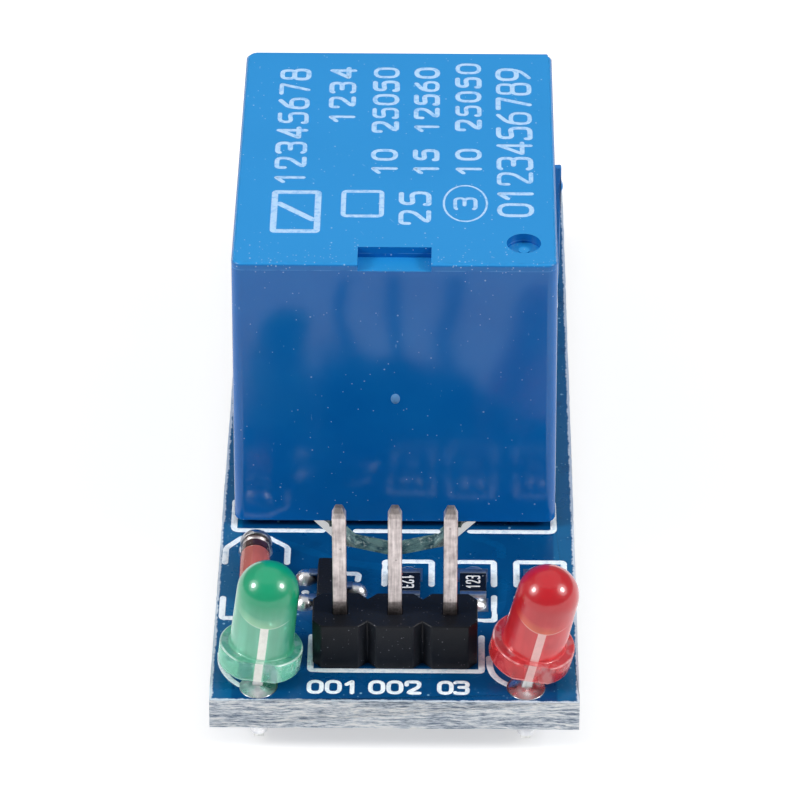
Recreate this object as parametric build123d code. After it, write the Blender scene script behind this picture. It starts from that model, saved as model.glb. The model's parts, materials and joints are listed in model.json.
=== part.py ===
from build123d import *
from math import atan, cos, degrees, pi, radians, sin, tan
import os

# Relay module board, in millimetres, with +Z up. The header end faces -Y and the screw terminals +Y.
# Origin: the middle of the board in plan, on the plane that the clipped pins under the board stand on.

# Board
board_thickness = 1.6
side_margin = 0.775         # from the relay's cover to the board's long edge
pin_tail = 1.5              # what the pins reach below the board
hole_sides = 12             # the soldered holes and their joints have flat sides, to keep the facets few
square_hole = 0.5           # radius of the holes for header pins
lead_hole = 0.45            # radius of the holes for the lamps' leads
strip_hole = 0.65           # radius of the holes for flat relay and terminal pins
via_radius = 0.2
via_places = [(5.0, 10.85), (5.05, 8.65)]   # across from the middle, in from the header end
slot_width = 1.04           # the milled slot that keeps the relay's common pin apart
slot_apothem = 3.58         # from the common pin to the middle of the slot's sides
slot_sides = 10
past = 1.0                  # how far a cut reaches beyond the face that it opens

# Solder
pad_radius = 0.9
joint_drop = 0.95           # height of a soldered cone
joint_tip = 0.42
lamp_joint_rise = 0.28      # the lamps' joints also rise on the upper face
flank_in = 0.3              # how hollow a flank is: its middle, as shares of its width and its height
flank_up = 0.37

# Pin header
pin_pitch = 2.54
pin_count = 3
pin_size = 0.64
pin_above = 8.5             # from the board to a pin's tip
pin_taper = 0.5
pin_tip = 0.3
header_inset = 3.6          # from the board's end to the row of pins
header_depth = 2.5
header_height = 2.5
header_chamfer = 0.42
header_relief = 0.3         # the channel under the housing

# Lamps: 3 mm light-emitting diodes that lean a little, as soldered
lamp_inset = 2.3            # from the board's end to a lamp's centre
lamp_spacing = 12.35
lamp_offset = -0.1
lead_pitch = 2.54
lead_size = 0.48
lead_tail = 1.2             # below the board
lead_knee = 0.3             # above the board, where the leads start to lean
flange_radius = 1.93
flange_height = 1.0
flange_flat = 1.72          # from the centre to the flat that marks the cathode
lens_radius = 1.48
lens_draft = 0.05
lens_height = 5.3
cup_radius = 0.5
cup_height = 0.5
cup_top = 2.5               # above the flange's underside
cup_depth = 0.28
cup_mouth = 0.4             # radius at the top of the cup's bowl
cup_floor = 0.27            # radius at its bottom
cup_shift = 0.2             # from the lamp's axis to the cup's, on the cathode's side
cup_neck = 0.35
post_gap = 0.25             # between the cup and the anode's post
post_top = 2.65
frame_bend = 0.85           # above the flange's underside, where the inner leads close in
frame_slope = 0.6           # height over which the anode closes in
chip_size = 0.3
chip_height = 0.2
green_lift = 0.48           # under the green lamp's flange
green_lean_right = 6.9      # degrees, as are the other leans
green_lean_back = 4.9
red_lift = 0.92
red_lean_right = 11.5
red_lean_back = -4.0
lamps = {                   # the side of the board and how the lamp stands
    "green_led": (-1, green_lift, green_lean_right, green_lean_back),
    "red_led": (1, red_lift, red_lean_right, red_lean_back),
}

# Chip resistors
resistor_inset = 8.22
resistor_first = 0.5
resistor_pitch = 3.12
resistor_count = 3
resistor_length = 2.0
resistor_width = 1.25
resistor_height = 0.5
cap_length = 0.33
cap_wall = 0.04
chip_fillet = 0.6           # how far a chip's solder runs out on the board
chip_fillet_rise = 0.36

# Glass diode
diode_x = -6.72
diode_inset = 9.15
diode_length = 3.5
diode_radius = 0.75
diode_cap = 0.3             # width of the metal rim at each end
glass_radius = 0.7
stud_radius = 0.42
stud_reach = 1.35
diode_fillet = 0.55
diode_fillet_rise = 0.6

# Transistor
transistor_x = -3.1
transistor_inset = 8.0
transistor_width = 1.3
transistor_length = 2.9
transistor_lift = 0.08
transistor_height = 1.0
transistor_draft = 7.0      # degrees
leg_pitch = 1.9
leg_width = 0.42
leg_thickness = 0.13
leg_reach = 0.55            # from the body's side to a leg's toe
leg_bend = 0.25             # from the body's side to the drop
leg_rise = 0.5              # height of a leg's root above the board
leg_root = 0.2              # length held inside the body
toe_solder = 0.22
toe_margin = 0.25

# Relay cover
relay_inset = 13.01
relay_x = -0.14
cover_gap = 0.37            # under the cover's rim
cover_wall = 0.8
cover_top = 1.0
cover_draft = 0.165         # what each side leans in up to the top
cover_corner = 0.5
cover_edge = 0.12           # the slope that breaks the top edge
notch_length = 3.42         # the sloping step in the top edge above the pins
notch_depth = 1.6
notch_front_drop = 0.37
notch_back_drop = 0.59
vent_radius = 0.8
vent_depth = 0.5
vent_across = 6.0           # from the cover's middle to the vent recess
vent_inset = 1.98           # from the cover's face to the vent recess
nib_radius = 0.25
nib_offset = 0.42
nib_drop = 0.1              # from the cover's top to the nib's

# Relay inside: places of the pins
common_inset = 2.1          # from the cover's end to the common pin
coil_pin_back = 2.0         # from the common pin to the coil's pins
contact_span = 14.2         # from the common pin to the contact pins
contact_inset = 2.78        # from the contact pins to the cover's far end
pin_row_span = 12.0
pin_row_margin = 1.725      # from a row of pins to the cover's side
strip_thickness = 0.4
strip_pin_width = 1.0
coil_pin_size = 0.5
coil_pin_stand = 0.6        # what a coil pin stands proud of the bobbin

# Relay inside: heights from the board upwards
foot_size = 1.2
foot_inset = 1.3
base_lift = 0.9
base_thickness = 1.4
base_clearance = 0.06
resin_recess = 0.1          # from the cover's rim up to the resin's face
yoke_thickness = 1.2
bobbin_flange = 0.8
winding_height = 5.18
pole_thickness = 0.8
air_gap = 0.05              # what is left between armature and pole when it is pulled in
armature_thickness = 1.0
blade_thickness = 0.15
contact_head = 0.35
contact_gap = 0.03          # what is left between closed contacts
button_height = 0.25
strip_headroom = 0.2        # from the upper contact strip to the cover's inside

# Relay inside: magnet, armature and contacts
core_radius = 2.0
pole_radius = 3.0
tube_wall = 0.5
winding_inset = 0.3         # from a flange's edge to the winding
flange_span = 9.4
yoke_inset = 0.2            # from a flange's edge to the yoke's side
yoke_gap = 0.3              # from the upright yoke to the bobbin
yoke_reach = 4.2            # from the core's axis to the end of the yoke's foot
ear_width = 1.6
ear_shift = 0.4             # of an ear's middle from its pin, towards the coil
ear_reach = 0.7             # of a bobbin ear beyond its coil pin
armature_width = 8.0
armature_overhang = 0.5     # past the pole
armature_swing = 3.0        # degrees
spring_width = 5.0
spring_bend = 0.8
spring_drop = 6.0           # length of the spring down the back of the yoke
spring_relief = 0.1
blade_width = 4.4
blade_tip_width = 2.8
blade_start = 0.15
blade_neck = 1.6            # length over which the blade narrows
blade_past = 0.2            # past the moving contact
rivet_radius = 0.5
rivet_head = 0.75
rivet_head_height = 0.2
rivet_spacing = 2.6
back_rivet_drop = 1.2       # from the common terminal's top to its rivets
contact_radius = 1.0
button_radius = 1.1
common_width = 6.0
common_rise = 6.5           # above the base
contact_strip_width = 2.0
contact_strip_past = 1.3    # past the contact's centre
barrier_thickness = 0.8
barrier_gap = 0.35
barrier_drop = 1.3          # from the pole's face down to the barrier's top
barrier_width = 10.4

# Screw terminals
relay_terminal_gap = 1.11
terminal_setback = 2.0      # from the terminals' face to the board's far end
terminal_pitch = 5.08
terminal_poles = 3
terminal_side = 0.1
back_wall = 1.0
front_wall = 1.0
terminal_chamfer = 1.0
rib_reach = 0.4
rib_width = 2.0
rib_flare = 0.3
rib_height = 7.25
rib_inset = 0.5             # from the block's back to the rib
rib_clearance = 0.1
bead_radius = 0.45
bead_proud = 0.1
bead_drop = 1.2
pole_groove = 0.35
foot_plate_lift = 0.3
plate_thickness = 0.5
cage_width = 3.5
cage_depth = 5.0
cage_wall = 0.45
cage_floor = 0.5
cage_space = 3.0            # height inside the cage
cage_roof = 1.1
cage_travel = 2.0
cage_rest_gap = 0.05
cage_side_gap = 0.1
cage_end_gap = 0.15
tongue_width = 2.2
tongue_headroom = 0.15
terminal_pin = 0.8
screw_radius = 1.25
screw_clearance = 0.05
screw_head_radius = 1.65
screw_head_height = 1.3
screw_slot_width = 0.5
screw_slot_depth = 0.6
screw_head_chamfer = 0.2
screw_hole_clearance = 0.1
well_clearance = 0.2
ledge_thickness = 0.6
head_recess = 0.7
entry_width = 3.0
entry_flare = 10.0          # degrees

# Levels above the plane that the part stands on
board_bottom = pin_tail
board_top = board_bottom + board_thickness

# Relay sizes that follow from what it holds, measured up from the board and out from its middle
relay_length = common_inset + contact_span + contact_inset
relay_width = pin_row_span + 2 * pin_row_margin
base_top = base_lift + base_thickness
yoke_foot_top = base_top + yoke_thickness
pole_face = yoke_foot_top + 2 * bobbin_flange + winding_height + pole_thickness
hinge_z = pole_face + air_gap
blade_z = hinge_z + armature_thickness
common_y = common_inset - relay_length / 2
coil_pin_y = common_y + coil_pin_back
contact_y = common_y + contact_span
strip_x = pin_row_span / 2
yoke_back = common_y + strip_thickness / 2 + blade_thickness
yoke_front = yoke_back + yoke_thickness
winding_radius = flange_span / 2 - winding_inset
yoke_width = flange_span - 2 * yoke_inset
core_y = yoke_front + yoke_gap + flange_span / 2
hinge_y = yoke_back + spring_bend + spring_relief
lever = contact_y - hinge_y
open_contact_z = blade_z - contact_head - contact_gap - button_height
closed_contact_z = (
    hinge_z
    + (armature_thickness + blade_thickness + contact_head) * cos(radians(armature_swing))
    + (lever + contact_radius) * sin(radians(armature_swing))
    + contact_gap + button_height
)
cover_inside_z = closed_contact_z + strip_thickness + strip_headroom
relay_height = cover_inside_z + cover_top
cover_slope = cover_draft / (relay_height - cover_gap)

# Terminal sizes that follow from the cage, the screw and the pitch, measured up from the board
chamber_width = cage_width + 2 * cage_side_gap
chamber_depth = plate_thickness + cage_depth + 2 * cage_end_gap
terminal_depth = back_wall + chamber_depth + front_wall
terminal_width = terminal_poles * terminal_pitch + 2 * terminal_side
foot_plate_top = foot_plate_lift + plate_thickness
cage_bottom = foot_plate_top + cage_rest_gap
cage_inside = cage_bottom + cage_floor
cage_roof_z = cage_inside + cage_space
cage_top = cage_roof_z + cage_roof
tongue_z = cage_roof_z - tongue_headroom - plate_thickness
chamber_top = cage_top + cage_travel + cage_end_gap
ledge_top = chamber_top + ledge_thickness
terminal_height = ledge_top + screw_head_height + head_recess
cage_y = chamber_depth / 2 - cage_end_gap - cage_depth / 2
chamber_y = (back_wall - front_wall) / 2

# The board takes its length and width from what stands on it in a row
board_length = relay_inset + relay_length + relay_terminal_gap + terminal_depth + terminal_setback
board_width = relay_width + 2 * side_margin
board_end = board_length / 2
header_end = -board_end

header_y = header_end + header_inset
lamp_y = header_end + lamp_inset
resistor_y = header_end + resistor_inset
relay_y = header_end + relay_inset + relay_length / 2
terminal_y = board_end - terminal_setback - terminal_depth / 2

on_board = Pos(0, 0, board_top)
relay_seat = Pos(relay_x, relay_y, board_top)
terminal_seat = Pos(0, terminal_y, board_top)
tails = -board_thickness - pin_tail


# Shapes that several pieces use

def block(x, y, z):
    """A block between two values on each axis."""
    size = [high - low for low, high in (x, y, z)]
    middle = [(high + low) / 2 for low, high in (x, y, z)]
    return Pos(*middle) * Box(*size)


def around(centre, span):
    """The two values that lie half a span to each side of a centre."""
    return (centre - span / 2, centre + span / 2)


def rod(x, y, radius, low, high):
    """An upright round rod."""
    return Pos(x, y, (low + high) / 2) * Cylinder(radius, high - low)


def turned(*lines):
    """A solid of revolution about Z from lines in the XZ plane that close a profile."""
    return revolve(make_face(Curve() + list(lines)), Axis.Z)


def centres(count, pitch, middle=0.0):
    """The places of a row, from its low end to its high end."""
    return [middle + (index - (count - 1) / 2) * pitch for index in range(count)]


def group(solids):
    """Several separate solids of one kind, kept together in one node."""
    return Compound(children=[piece for solid in solids for piece in solid.solids()])


# Board and solder

def header_places():
    return [(x, header_y) for x in centres(pin_count, pin_pitch)]


def lamp_hole_x(side):
    return lamp_offset + side * lamp_spacing / 2


def lamp_places():
    rows = centres(2, lead_pitch, lamp_y)
    return [(lamp_hole_x(side), y) for side in (-1, 1) for y in rows]


def relay_places():
    local = [(0, common_y)]
    local += [(side * strip_x, y) for y in (coil_pin_y, contact_y) for side in (-1, 1)]
    return [(relay_x + x, relay_y + y) for x, y in local]


def terminal_places():
    return [(x, terminal_y + chamber_y) for x in centres(terminal_poles, terminal_pitch)]


def milled_slot():
    """Half of a ten-sided ring round the common pin, open towards the contacts."""
    turn = 180 / slot_sides
    outer = RegularPolygon(slot_apothem + slot_width / 2, slot_sides, major_radius=False, rotation=turn)
    inner = RegularPolygon(slot_apothem - slot_width / 2, slot_sides, major_radius=False, rotation=turn)
    reach = 2 * slot_apothem
    ring = (outer - inner) & (Pos(0, -reach / 2) * Rectangle(2 * reach, reach))
    corner = slot_apothem / cos(pi / slot_sides)
    for side in (-1, 1):
        ring += Pos(side * corner, 0) * Circle(slot_width / 2 / cos(pi / slot_sides))
    slot = extrude(ring, amount=board_thickness)
    return Pos(relay_x, relay_y + common_y, board_bottom) * slot


def circuit_board():
    board = block(around(0, board_width), around(0, board_length), (board_bottom, board_top))
    board -= milled_slot()
    holes = [(place, square_hole) for place in header_places()]
    holes += [(place, lead_hole) for place in lamp_places()]
    holes += [(place, strip_hole) for place in relay_places() + terminal_places()]
    for place, radius in holes:
        board -= drill(place, radius, board_bottom, board_top)
    for x, y in via_places:
        board -= drill((x, header_end + y), via_radius, board_bottom, board_top)
    return board


def drill(place, radius, low, high):
    """A flat-sided hole, or a stretch of what fills it."""
    outline = RegularPolygon(radius, hole_sides)
    return Pos(place[0], place[1], low) * extrude(outline, amount=high - low)


def frustum(outline, narrowing, z, height):
    """An outline drawn in by a slope on every side, up or down from a level."""
    lean = degrees(atan(narrowing / abs(height)))
    solid = extrude(outline, amount=abs(height), taper=lean)
    return Pos(0, 0, z) * (solid if height > 0 else Rot(180, 0, 0) * solid)


def solder_slope(wide, narrow, z, height):
    """A stretch of soldered cone with flat sides."""
    return frustum(RegularPolygon(wide, hole_sides), (wide - narrow) * cos(pi / hole_sides), z, height)


def flank(z, height):
    """Solder that has crept along a pin from its pad, hollow on its slope."""
    narrow = joint_tip + flank_in * (pad_radius - joint_tip)
    bend = flank_up * height
    return solder_slope(pad_radius, narrow, z, bend) + solder_slope(narrow, joint_tip, z + bend, height - bend)


def solder_joint(place, hole, rise=0.0):
    """Solder that fills a hole and stands as a cone under the board."""
    joint = drill((0, 0), hole, board_bottom, board_top) + flank(board_bottom, -joint_drop)
    if rise:
        joint += solder_slope(pad_radius, joint_tip, board_top, rise)
    return Pos(place[0], place[1], 0) * joint


def solder_joints(places, hole, pins, rise=0.0):
    """One joint at each place, with the pins that pass through left free."""
    joints = [solder_joint(place, hole, rise) for place in places]
    return group([joint - pin for joint, pin in zip(joints, pins)])


# Pin header

def header_housing():
    """Three moulded cells in a row, parted by the notches where they would snap."""
    cell = Rectangle(pin_pitch, header_depth)
    cell = chamfer(cell.vertices(), header_chamfer)
    outline = Sketch() + [Pos(x, header_y) * cell for x in centres(pin_count, pin_pitch)]
    housing = extrude(outline, amount=header_height)
    relief = block(around(0, pin_count * pin_pitch), around(header_y, pin_size), (0, header_relief))
    housing = on_board * (housing - relief)
    for pin in header_pins():
        housing -= pin
    return housing


def header_pins():
    """Square pins with pointed ends, soldered at the foot."""
    section = Rectangle(pin_size, pin_size)
    narrowing = (pin_size - pin_tip) / 2
    shoulder = board_top + pin_above - pin_taper
    pin = Pos(0, 0, pin_taper) * extrude(section, amount=shoulder - pin_taper)
    pin += frustum(section, narrowing, shoulder, pin_taper)
    pin += frustum(section, narrowing, pin_taper, -pin_taper)
    return [Pos(x, y, 0) * pin for x, y in header_places()]


# Lamps

def lamp_place(side, lift, lean_right, lean_back):
    """Where a lamp stands: its leads meet the board's holes at the knee."""
    rise = lift - lead_knee
    x = lamp_hole_x(side) + rise * tan(radians(lean_right))
    y = lamp_y + rise * tan(radians(lean_back))
    return Pos(x, y, board_top + lift) * Rot(-lean_back, lean_right, 0)


def lamp_lead(end, place, side, inner):
    """One lead: its inner frame, the leaning stretch under the lens and the clipped tail."""
    hole = Pos(lamp_hole_x(side), lamp_y + end * lead_pitch / 2, 0)
    section = Rectangle(lead_size, lead_size)
    knee = board_top + lead_knee
    tail = hole * block(around(0, lead_size), around(0, lead_size), (board_bottom - lead_tail, knee))
    lean = loft([hole * Pos(0, 0, knee) * section, place * Pos(0, end * lead_pitch / 2, 0) * section])
    return place * inner + lean + tail


def lead_frame(points):
    """A flat stamping in the lamp's YZ plane."""
    outline = make_face(Polyline(*[(0, y, z) for y, z in points], close=True))
    return extrude(outline, amount=lead_size / 2, dir=(1, 0, 0), both=True)


def lamp_cathode_frame():
    """The inner end of the cathode, with the cup that the chip sits in."""
    outer = -(lead_pitch + lead_size) / 2
    seat = cup_top - cup_height
    near, far = cup_radius - cup_shift, -cup_radius - cup_shift
    arm = lead_frame([
        (outer, 0), (outer + lead_size, 0), (outer + lead_size, frame_bend),
        (near, seat - cup_neck), (near, seat), (far, seat), (outer, frame_bend),
    ])
    cup = Pos(0, -cup_shift, seat + cup_height / 2) * Cylinder(cup_radius, cup_height)
    bowl = Pos(0, -cup_shift, cup_top - cup_depth / 2) * Cone(cup_floor, cup_mouth, cup_depth)
    return arm + cup - bowl


def lamp_anode_frame():
    """The inner end of the anode, a post beside the cup."""
    outer = (lead_pitch + lead_size) / 2
    near = cup_radius - cup_shift + post_gap
    bend = frame_bend + frame_slope
    return lead_frame([
        (outer - lead_size, 0), (outer, 0), (outer, frame_bend), (near + lead_size, bend),
        (near + lead_size, post_top), (near, post_top), (near, bend), (outer - lead_size, frame_bend),
    ])


def lamp_chip():
    """The light-emitting chip on the floor of the cup."""
    floor = cup_top - cup_depth
    return block(around(0, chip_size), around(-cup_shift, chip_size), (floor, floor + chip_height))


def lamp_lens():
    """A flanged, slightly tapered body under a round dome."""
    dome = lens_radius - lens_draft
    shoulder = lens_height - dome
    solid = turned(
        Polyline((0, 0, 0), (flange_radius, 0, 0), (flange_radius, 0, flange_height),
                 (lens_radius, 0, flange_height), (dome, 0, shoulder)),
        ThreePointArc((dome, 0, shoulder),
                      (dome * cos(pi / 4), 0, shoulder + dome * sin(pi / 4)), (0, 0, lens_height)),
        Line((0, 0, lens_height), (0, 0, 0)),
    )
    beyond = block(around(0, 2 * flange_radius), (-2 * flange_radius, -flange_flat), (0, flange_height))
    return solid - beyond


def lamp(name):
    """The nodes of one lamp: lens, two leads and the chip."""
    side = lamps[name][0]
    place = lamp_place(*lamps[name])
    cathode = lamp_lead(-1, place, side, lamp_cathode_frame())
    anode = lamp_lead(1, place, side, lamp_anode_frame())
    chip = place * lamp_chip()
    lens = place * lamp_lens() - cathode - anode - chip
    return {
        name + "_lens": lens,
        name + "_cathode": cathode,
        name + "_anode": anode,
        name + "_chip": chip,
    }


# Surface parts

def end_fillet(width, reach, rise):
    """Solder that runs out along +Y from an upright end, hollow on its slope."""
    profile = make_face(Polyline(
        (0, reach, 0), (0, 0, 0), (0, 0, rise), (0, reach * flank_in, rise * flank_up), close=True,
    ))
    return extrude(profile, amount=width / 2, dir=(1, 0, 0), both=True)


def both_ends(length, solid):
    """The same solid at the +Y end and, turned round, at the -Y end."""
    near = Pos(0, length / 2, 0) * solid
    return [near, Rot(0, 0, 180) * near]


def resistor_seats():
    return [
        Pos(resistor_first + index * resistor_pitch, resistor_y, board_top)
        for index in range(resistor_count)
    ]


def resistor_caps():
    """Plated ends that wrap the top, the end and the underside of the ceramic."""
    wrap = block(around(0, resistor_width), (-cap_length, 0), (0, resistor_height))
    core = block(around(0, resistor_width), (-cap_length, -cap_wall), (cap_wall, resistor_height - cap_wall))
    return both_ends(resistor_length, wrap - core)


def resistor_body():
    body = block(around(0, resistor_width), around(0, resistor_length), (0, resistor_height))
    for cap in resistor_caps():
        body -= cap
    return body


def diode_seat():
    return Pos(diode_x, header_end + diode_inset, board_top)


def lying(radius, low, high):
    """A round rod that lies along Y at the height of the diode's axis."""
    return Pos(0, (low + high) / 2, diode_radius) * Rot(90, 0, 0) * Cylinder(radius, high - low)


def diode_studs():
    """Each end is a metal rim with a stud that reaches in to the chip."""
    half = diode_length / 2
    stud = lying(diode_radius, half - diode_cap, half) + lying(stud_radius, half - stud_reach, half)
    return [stud, Rot(0, 0, 180) * stud]


def diode_chip():
    reach = diode_length / 2 - stud_reach
    return lying(stud_radius, -reach, reach)


def diode_glass():
    """The glass sleeve, melted onto the studs and round the chip."""
    half = diode_length / 2 - diode_cap
    sleeve = lying(glass_radius, -half, half) - diode_chip()
    for stud in diode_studs():
        sleeve -= stud
    return sleeve


def transistor_seat():
    return Pos(transistor_x, header_end + transistor_inset, board_top)


def transistor_leg():
    """A flat leg that leaves the body's +X side, drops and ends in a toe on the board."""
    root = transistor_width / 2
    knee, toe = root + leg_bend, root + leg_reach
    outline = make_face(Polyline(
        (root - leg_root, 0, leg_rise), (knee + leg_thickness, 0, leg_rise),
        (knee + leg_thickness, 0, leg_thickness), (toe, 0, leg_thickness), (toe, 0, 0),
        (knee, 0, 0), (knee, 0, leg_rise - leg_thickness), (root - leg_root, 0, leg_rise - leg_thickness),
        close=True,
    ))
    return extrude(outline, amount=leg_width / 2, dir=(0, 1, 0), both=True)


def transistor_legs():
    """Two legs on the left and one on the right."""
    leg = transistor_leg()
    back = Rot(0, 0, 180) * leg
    return [Pos(0, y, 0) * back for y in centres(2, leg_pitch)] + [leg]


def transistor_body():
    parting = leg_rise - leg_thickness / 2
    outline = Rectangle(transistor_width, transistor_length)
    upper = extrude(outline, amount=transistor_height - parting, taper=transistor_draft)
    lower = extrude(outline, amount=transistor_lift - parting, taper=transistor_draft)
    body = Pos(0, 0, parting) * (upper + lower)
    for leg in transistor_legs():
        body -= leg
    return body


def toe_pillow():
    """The low cushion of solder that a leg's toe sits in."""
    inner = transistor_width / 2 + leg_bend - toe_margin / 2
    outer = transistor_width / 2 + leg_reach + toe_margin
    length = leg_width + 2 * toe_margin
    middle = (inner + outer) / 2
    pillow = loft([
        Pos(middle, 0, 0) * Rectangle(outer - inner, length),
        Pos(middle, 0, toe_solder) * Rectangle(outer - inner - toe_margin, length - toe_margin),
    ])
    return pillow - transistor_leg()


def surface_solder():
    """The solder at the ends of the chips, the diode and the transistor's legs."""
    chip_ends = both_ends(resistor_length, end_fillet(resistor_width, chip_fillet, chip_fillet_rise))
    solids = [seat * end for seat in resistor_seats() for end in chip_ends]
    diode_end = end_fillet(2 * diode_radius, diode_fillet, diode_fillet_rise)
    solids += [diode_seat() * end for end in both_ends(diode_length, diode_end)]
    pillow = toe_pillow()
    back = Rot(0, 0, 180) * pillow
    toes = [Pos(0, y, 0) * back for y in centres(2, leg_pitch)] + [pillow]
    solids += [transistor_seat() * toe for toe in toes]
    return group(solids)


# Relay: shell

def cover_outline(inset, z, corner=0.0):
    """The cover's outline at a height, set in from its outer faces."""
    lean = cover_slope * (z - cover_gap)
    width = relay_width - 2 * (inset + lean)
    length = relay_length - 2 * (inset + lean)
    outline = RectangleRounded(width, length, corner) if corner else Rectangle(width, length)
    return Pos(0, 0, z) * outline


def drafted(inset, low, high, corner=0.0):
    """What the cover's outline takes up between two heights."""
    return loft([cover_outline(inset, low, corner), cover_outline(inset, high, corner)])


def relay_cover():
    """A thin moulded box, open below, with a step in its top edge and a vent recess."""
    shoulder = relay_height - cover_edge
    shell = drafted(0, cover_gap, shoulder, cover_corner)
    shell += loft([cover_outline(0, shoulder, cover_corner),
                   cover_outline(cover_edge, relay_height, cover_corner - cover_edge)])
    shell -= drafted(cover_wall, cover_gap, cover_inside_z)
    front = -relay_length / 2
    shell -= cover_notch(front)
    vent_y = front + vent_inset
    floor = relay_height - vent_depth
    shell -= rod(vent_across, vent_y, vent_radius, floor, relay_height + past)
    shell += rod(vent_across, vent_y - nib_offset, nib_radius, floor, relay_height - nib_drop)
    return shell


def cover_notch(front):
    """The step cut into the top edge, with a floor that falls away from the face."""
    fall = (notch_back_drop - notch_front_drop) / notch_depth
    outside = relay_height - notch_front_drop + fall * past
    back = front + notch_depth
    profile = make_face(Polyline(
        (0, front - past, outside), (0, back, relay_height - notch_back_drop),
        (0, back, relay_height + past), (0, front - past, relay_height + past), close=True,
    ))
    return extrude(profile, amount=notch_length / 2, dir=(1, 0, 0), both=True)


def relay_feet():
    """Four square feet under the base, which hold the relay off the board."""
    x = relay_width / 2 - cover_wall - foot_inset
    y = relay_length / 2 - cover_wall - foot_inset
    return [block(around(i * x, foot_size), around(j * y, foot_size), (0, base_lift))
            for i in (-1, 1) for j in (-1, 1)]


def relay_pins():
    return [common_terminal(), open_contact(), closed_contact()] + coil_pins()


def relay_base():
    """The plug in the cover's mouth, with its feet and the wall between coil and contacts."""
    base = drafted(cover_wall + base_clearance, base_lift, base_top)
    wall_y = core_y + flange_span / 2 + barrier_gap + barrier_thickness / 2
    base += block(around(0, barrier_width), around(wall_y, barrier_thickness),
                  (base_top, pole_face - barrier_drop))
    for foot in relay_feet():
        base += foot
    for pin in relay_pins():
        base -= pin
    return base


def sealing_resin():
    """The resin poured round the pins to seal the relay from below."""
    resin = drafted(cover_wall, cover_gap + resin_recess, base_lift)
    for piece in relay_feet() + relay_pins():
        resin -= piece
    return resin


# Relay: coil and magnet

def relay_core():
    """A round core with a pole plate on top, riveted into the foot of the yoke."""
    under = pole_face - pole_thickness
    return rod(0, core_y, core_radius, base_top, under) + rod(0, core_y, pole_radius, under, pole_face)


def relay_bobbin():
    """A spool with square flanges; ears on the lower one hold the coil's pins."""
    top = pole_face - pole_thickness
    low = yoke_foot_top
    plate = extrude(Pos(0, core_y) * Rectangle(flange_span, flange_span), amount=bobbin_flange)
    bobbin = Pos(0, 0, low) * plate + Pos(0, 0, top - bobbin_flange) * plate
    bobbin += rod(0, core_y, core_radius + tube_wall, low, top)
    for side in (-1, 1):
        bobbin += block(sorted((0, side * (strip_x + ear_reach))), around(coil_pin_y + ear_shift, ear_width),
                        (low, low + bobbin_flange))
    bobbin -= rod(0, core_y, core_radius, low, top)
    for pin in coil_pins():
        bobbin -= pin
    return bobbin


def relay_winding():
    low = yoke_foot_top + bobbin_flange
    ring = Circle(winding_radius) - Circle(core_radius + tube_wall)
    return Pos(0, core_y, low) * extrude(ring, amount=winding_height)


def back_rivets():
    """The heads of the two rivets that hold the spring and the common terminal to the yoke."""
    z = base_top + common_rise - back_rivet_drop
    y = common_y - (strip_thickness + rivet_head_height) / 2
    head = Rot(90, 0, 0) * Cylinder(rivet_head, rivet_head_height)
    return [Pos(x, y, z) * head for x in centres(2, rivet_spacing)]


def relay_yoke():
    """An L of thick steel: the foot under the bobbin and the upright behind it."""
    foot = block(around(0, yoke_width), (yoke_back, core_y + yoke_reach), (base_top, yoke_foot_top))
    upright = block(around(0, yoke_width), (yoke_back, yoke_front), (base_top, pole_face))
    return foot + upright - rod(0, core_y, core_radius, base_top, yoke_foot_top)


def coil_pins():
    """Square pins beside the coil, on which its wire ends."""
    top = yoke_foot_top + bobbin_flange + coil_pin_stand
    return [
        block(around(side * strip_x, coil_pin_size), around(coil_pin_y, coil_pin_size), (tails, top))
        for side in (-1, 1)
    ]


# Relay: moving parts and contacts

def released(piece):
    """The pose of the armature and what it carries when the coil is off."""
    return piece.rotate(Axis((0, hinge_y, hinge_z), (1, 0, 0)), armature_swing)


def blade_rivets():
    """The heads of the two rivets that hold the blade to the armature."""
    y = hinge_y + (core_y - hinge_y) / 2
    seat = blade_z + blade_thickness
    return [rod(x, y, rivet_head, seat, seat + rivet_head_height) for x in centres(2, rivet_spacing)]


def armature():
    """The flat plate that the coil pulls down."""
    end = core_y + pole_radius + armature_overhang
    plate = block(around(0, armature_width), (hinge_y, end), (hinge_z, blade_z))
    corners = plate.edges().filter_by(Axis.Z).sort_by(Axis.Y)[-2:]
    return released(chamfer(corners, armature_overhang * 2))


def contact_blade():
    """The springy blade riveted to the armature, which carries the moving contact."""
    start, shoulder = hinge_y + blade_start, core_y + pole_radius
    neck = shoulder + blade_neck
    end = contact_y + contact_radius + blade_past
    outline = make_face(Polyline(
        (-blade_width / 2, start), (blade_width / 2, start), (blade_width / 2, shoulder),
        (blade_tip_width / 2, neck), (blade_tip_width / 2, end), (-blade_tip_width / 2, end),
        (-blade_tip_width / 2, neck), (-blade_width / 2, shoulder), close=True,
    ))
    blade = Pos(0, 0, blade_z) * extrude(outline, amount=blade_thickness)
    blade -= drill((0, contact_y), rivet_radius, blade_z, blade_z + blade_thickness)
    for head in blade_rivets():
        blade += head
    return released(blade)


def moving_contact():
    """A double-headed rivet, which touches one fixed contact or the other."""
    top = blade_z + blade_thickness
    rivet = drill((0, contact_y), rivet_radius, blade_z, top)
    rivet += rod(0, contact_y, contact_radius, blade_z - contact_head, blade_z)
    rivet += rod(0, contact_y, contact_radius, top, top + contact_head)
    return released(rivet)


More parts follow.
